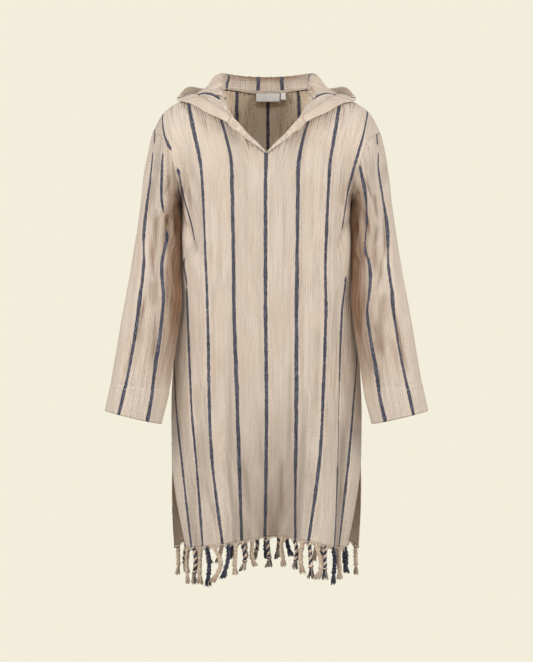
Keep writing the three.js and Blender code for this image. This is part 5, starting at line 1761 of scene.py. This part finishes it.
# ---------------------------------------------------------------- sewing
@dataclass
class Sewing:
    """Rows of stitches on the cuffs, the edges of the side slits and the facings."""

    panels: tuple[Panel, Panel]
    sleeves: tuple[Sleeve, Sleeve]
    facings: tuple[Facing, Facing]
    lift: float = SHELL / 2 + 0.1

    def row_on(self, surface: Surface, index: tuple[object, object], bundle: Bundle) -> None:
        """Sews along a row or column of a surface."""
        line, out = surface.points[index], surface.normals()[index]
        stitches(bundle, line + out * self.lift, out)

    def dress(self, finishes: Finishes) -> bpy.types.Object:
        """Makes all the stitches as one piece."""
        bundle = Bundle()
        for sleeve in self.sleeves:
            self.row_on(sleeve.surface, (sleeve.cuff_row + 2, slice(None)), bundle)
        for panel in self.panels:
            grid = panel.surface.points
            start = int(np.argmax(grid[:, 0, 2] < SLIT_TOP_Z + 4))
            for column in (3, -4):
                self.row_on(panel.surface, (slice(start, None), column), bundle)
        for facing in self.facings:
            self.row_on(facing.surface, (slice(6, None), -3), bundle)
        piece = bundle.build("sewing_thread", finishes.yarn)
        settle(piece, None)
        report(piece)
        return piece


# ---------------------------------------------------------------- studio
@dataclass(frozen=True)
class Studio:
    """Pale floor, even background, soft lights and the camera in front of the tunic."""

    backdrop: tuple[int, int, int] = (243, 238, 219)
    floor_z: float = -1.45
    camera_place: tuple[float, float, float] = (0.0, -3.2, -0.467)
    lens: float = 84.9
    sky: float = 0.30
    sky_colour: tuple[int, int, int] = (246, 243, 238)

    def build(self) -> None:
        """Makes the camera, floor, world and lights."""
        self.camera()
        self.floor()
        self.world()
        self.lamp("left_box", (-2.1, -1.35, 0.75), (0.0, 0.0, -0.3), (0.9, 1.3), 35.0)
        self.lamp("right_box", (2.1, -1.35, 0.75), (0.0, 0.0, -0.3), (0.9, 1.3), 33.0)
        self.lamp("front_box", (0.0, -2.6, 1.5), (0.0, 0.0, -0.25), (1.2, 0.8), 13.5)
        self.lamp("low_left_box", (-1.55, -2.5, -1.0), (0.0, 0.0, -0.65), (0.8, 0.8), 8.4)
        self.lamp("low_right_box", (1.55, -2.5, -1.0), (0.0, 0.0, -0.65), (0.8, 0.8), 7.4)
        self.lamp("back_box", (0.0, 1.9, 1.5), (0.0, 0.0, -0.3), (1.6, 1.0), 16.0)
        scene = bpy.context.scene
        scene.view_settings.view_transform = "Standard"

    def camera(self) -> None:
        """Level camera at the height of the tunic's middle."""
        data = bpy.data.cameras.new("camera")
        data.lens = self.lens
        camera = bpy.data.objects.new("camera", data)
        camera.location = self.camera_place
        camera.rotation_euler = (math.radians(90), 0, 0)
        bpy.context.scene.collection.objects.link(camera)
        bpy.context.scene.camera = camera

    def floor(self) -> None:
        """A wide round floor that shows as plain as the background and lights the cloth from below."""
        angle = np.arange(48) * 2 * math.pi / 48
        ring = np.stack((np.cos(angle) * 40, np.sin(angle) * 40, np.full(48, self.floor_z)), axis=-1)
        mesh = bpy.data.meshes.new("floor")
        mesh.from_pydata(ring.tolist(), [], [list(range(48))])
        material, g, shader = start_material("floor_paper")
        shader.inputs["Base Color"].default_value = srgb(178, 174, 168)
        shader.inputs["Roughness"].default_value = 0.9
        glow = g.add("ShaderNodeEmission")
        glow.inputs["Color"].default_value = srgb(*self.backdrop)
        path = g.add("ShaderNodeLightPath")
        plain = g.add("ShaderNodeMixShader")
        g.feed(plain.inputs[0], path.outputs["Is Camera Ray"])
        g.feed(plain.inputs[1], shader.outputs[0])
        g.feed(plain.inputs[2], glow.outputs[0])
        below = g.add("ShaderNodeMixShader")
        g.feed(below.inputs[0], g.add("ShaderNodeNewGeometry").outputs["Backfacing"])
        g.feed(below.inputs[1], plain.outputs[0])
        g.feed(below.inputs[2], g.add("ShaderNodeBsdfTransparent").outputs[0])
        end = next(n for n in g.tree.nodes if n.type == "OUTPUT_MATERIAL")
        g.feed(end.inputs["Surface"], below.outputs[0])
        link_mesh("floor", mesh, material)

    def world(self) -> None:
        """The background's colour for the camera, and a dimmer sky of it for the cloth."""
        world = bpy.data.worlds.new("studio")
        world.use_nodes = True
        g = Graph(world.node_tree)
        shown, sky = g.add("ShaderNodeBackground"), g.add("ShaderNodeBackground")
        for node, colour, strength in ((shown, self.backdrop, 1.0), (sky, self.sky_colour, self.sky)):
            node.inputs["Color"].default_value = srgb(*colour)
            node.inputs["Strength"].default_value = strength
        mix = g.add("ShaderNodeMixShader")
        g.feed(mix.inputs[0], g.add("ShaderNodeLightPath").outputs["Is Camera Ray"])
        g.feed(mix.inputs[1], sky.outputs[0])
        g.feed(mix.inputs[2], shown.outputs[0])
        g.feed(g.add("ShaderNodeOutputWorld").inputs["Surface"], mix.outputs[0])
        bpy.context.scene.world = world

    def lamp(self, name: str, place: tuple[float, float, float], aim: tuple[float, float, float],
             size: tuple[float, float], power: float) -> None:
        """Adds a soft rectangular light that looks at a point."""
        data = bpy.data.lights.new(name, "AREA")
        data.shape = "RECTANGLE"
        data.size, data.size_y = size
        data.energy = power
        lamp = bpy.data.objects.new(name, data)
        lamp.location = place
        way = np.subtract(aim, place)
        turn = math.atan2(way[1], way[0]) - math.pi / 2
        lamp.rotation_euler = (math.acos(-way[2] / np.linalg.norm(way)), 0, turn)
        bpy.context.scene.collection.objects.link(lamp)


def main() -> None:
    """Builds the studio and every piece of the tunic in order."""
    logging.basicConfig(level=logging.INFO, format="%(name)s: %(message)s")
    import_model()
    Studio().build()
    finishes = Finishes.make()
    front, back = Panel(Side.FRONT), Panel(Side.BACK, cut=(0.60, 0.96), fine=(200, 120))
    sleeves = (Sleeve(1.0, front, back), Sleeve(-1.0, front, back, shift=6.0))
    skin = Skin.of([front.surface, back.surface, *(s.surface for s in sleeves)])
    hoods = (HoodHalf(1.0, skin), HoodHalf(-1.0, skin, shift=-4.0))
    facings = (Facing(1.0, front, hoods[0], skin), Facing(-1.0, front, hoods[1], skin))
    for panel in (front, back):
        panel.pucker_below([part.surface for part in (*hoods, *facings)])
    for part in (front, back, *sleeves, *hoods, *facings, NeckTape()):
        part.dress(finishes)
    for panel in (front, back):
        Fringe(panel).dress(finishes)
    Sewing((front, back), sleeves, facings).dress(finishes)


if __name__ == "__main__":
    main()
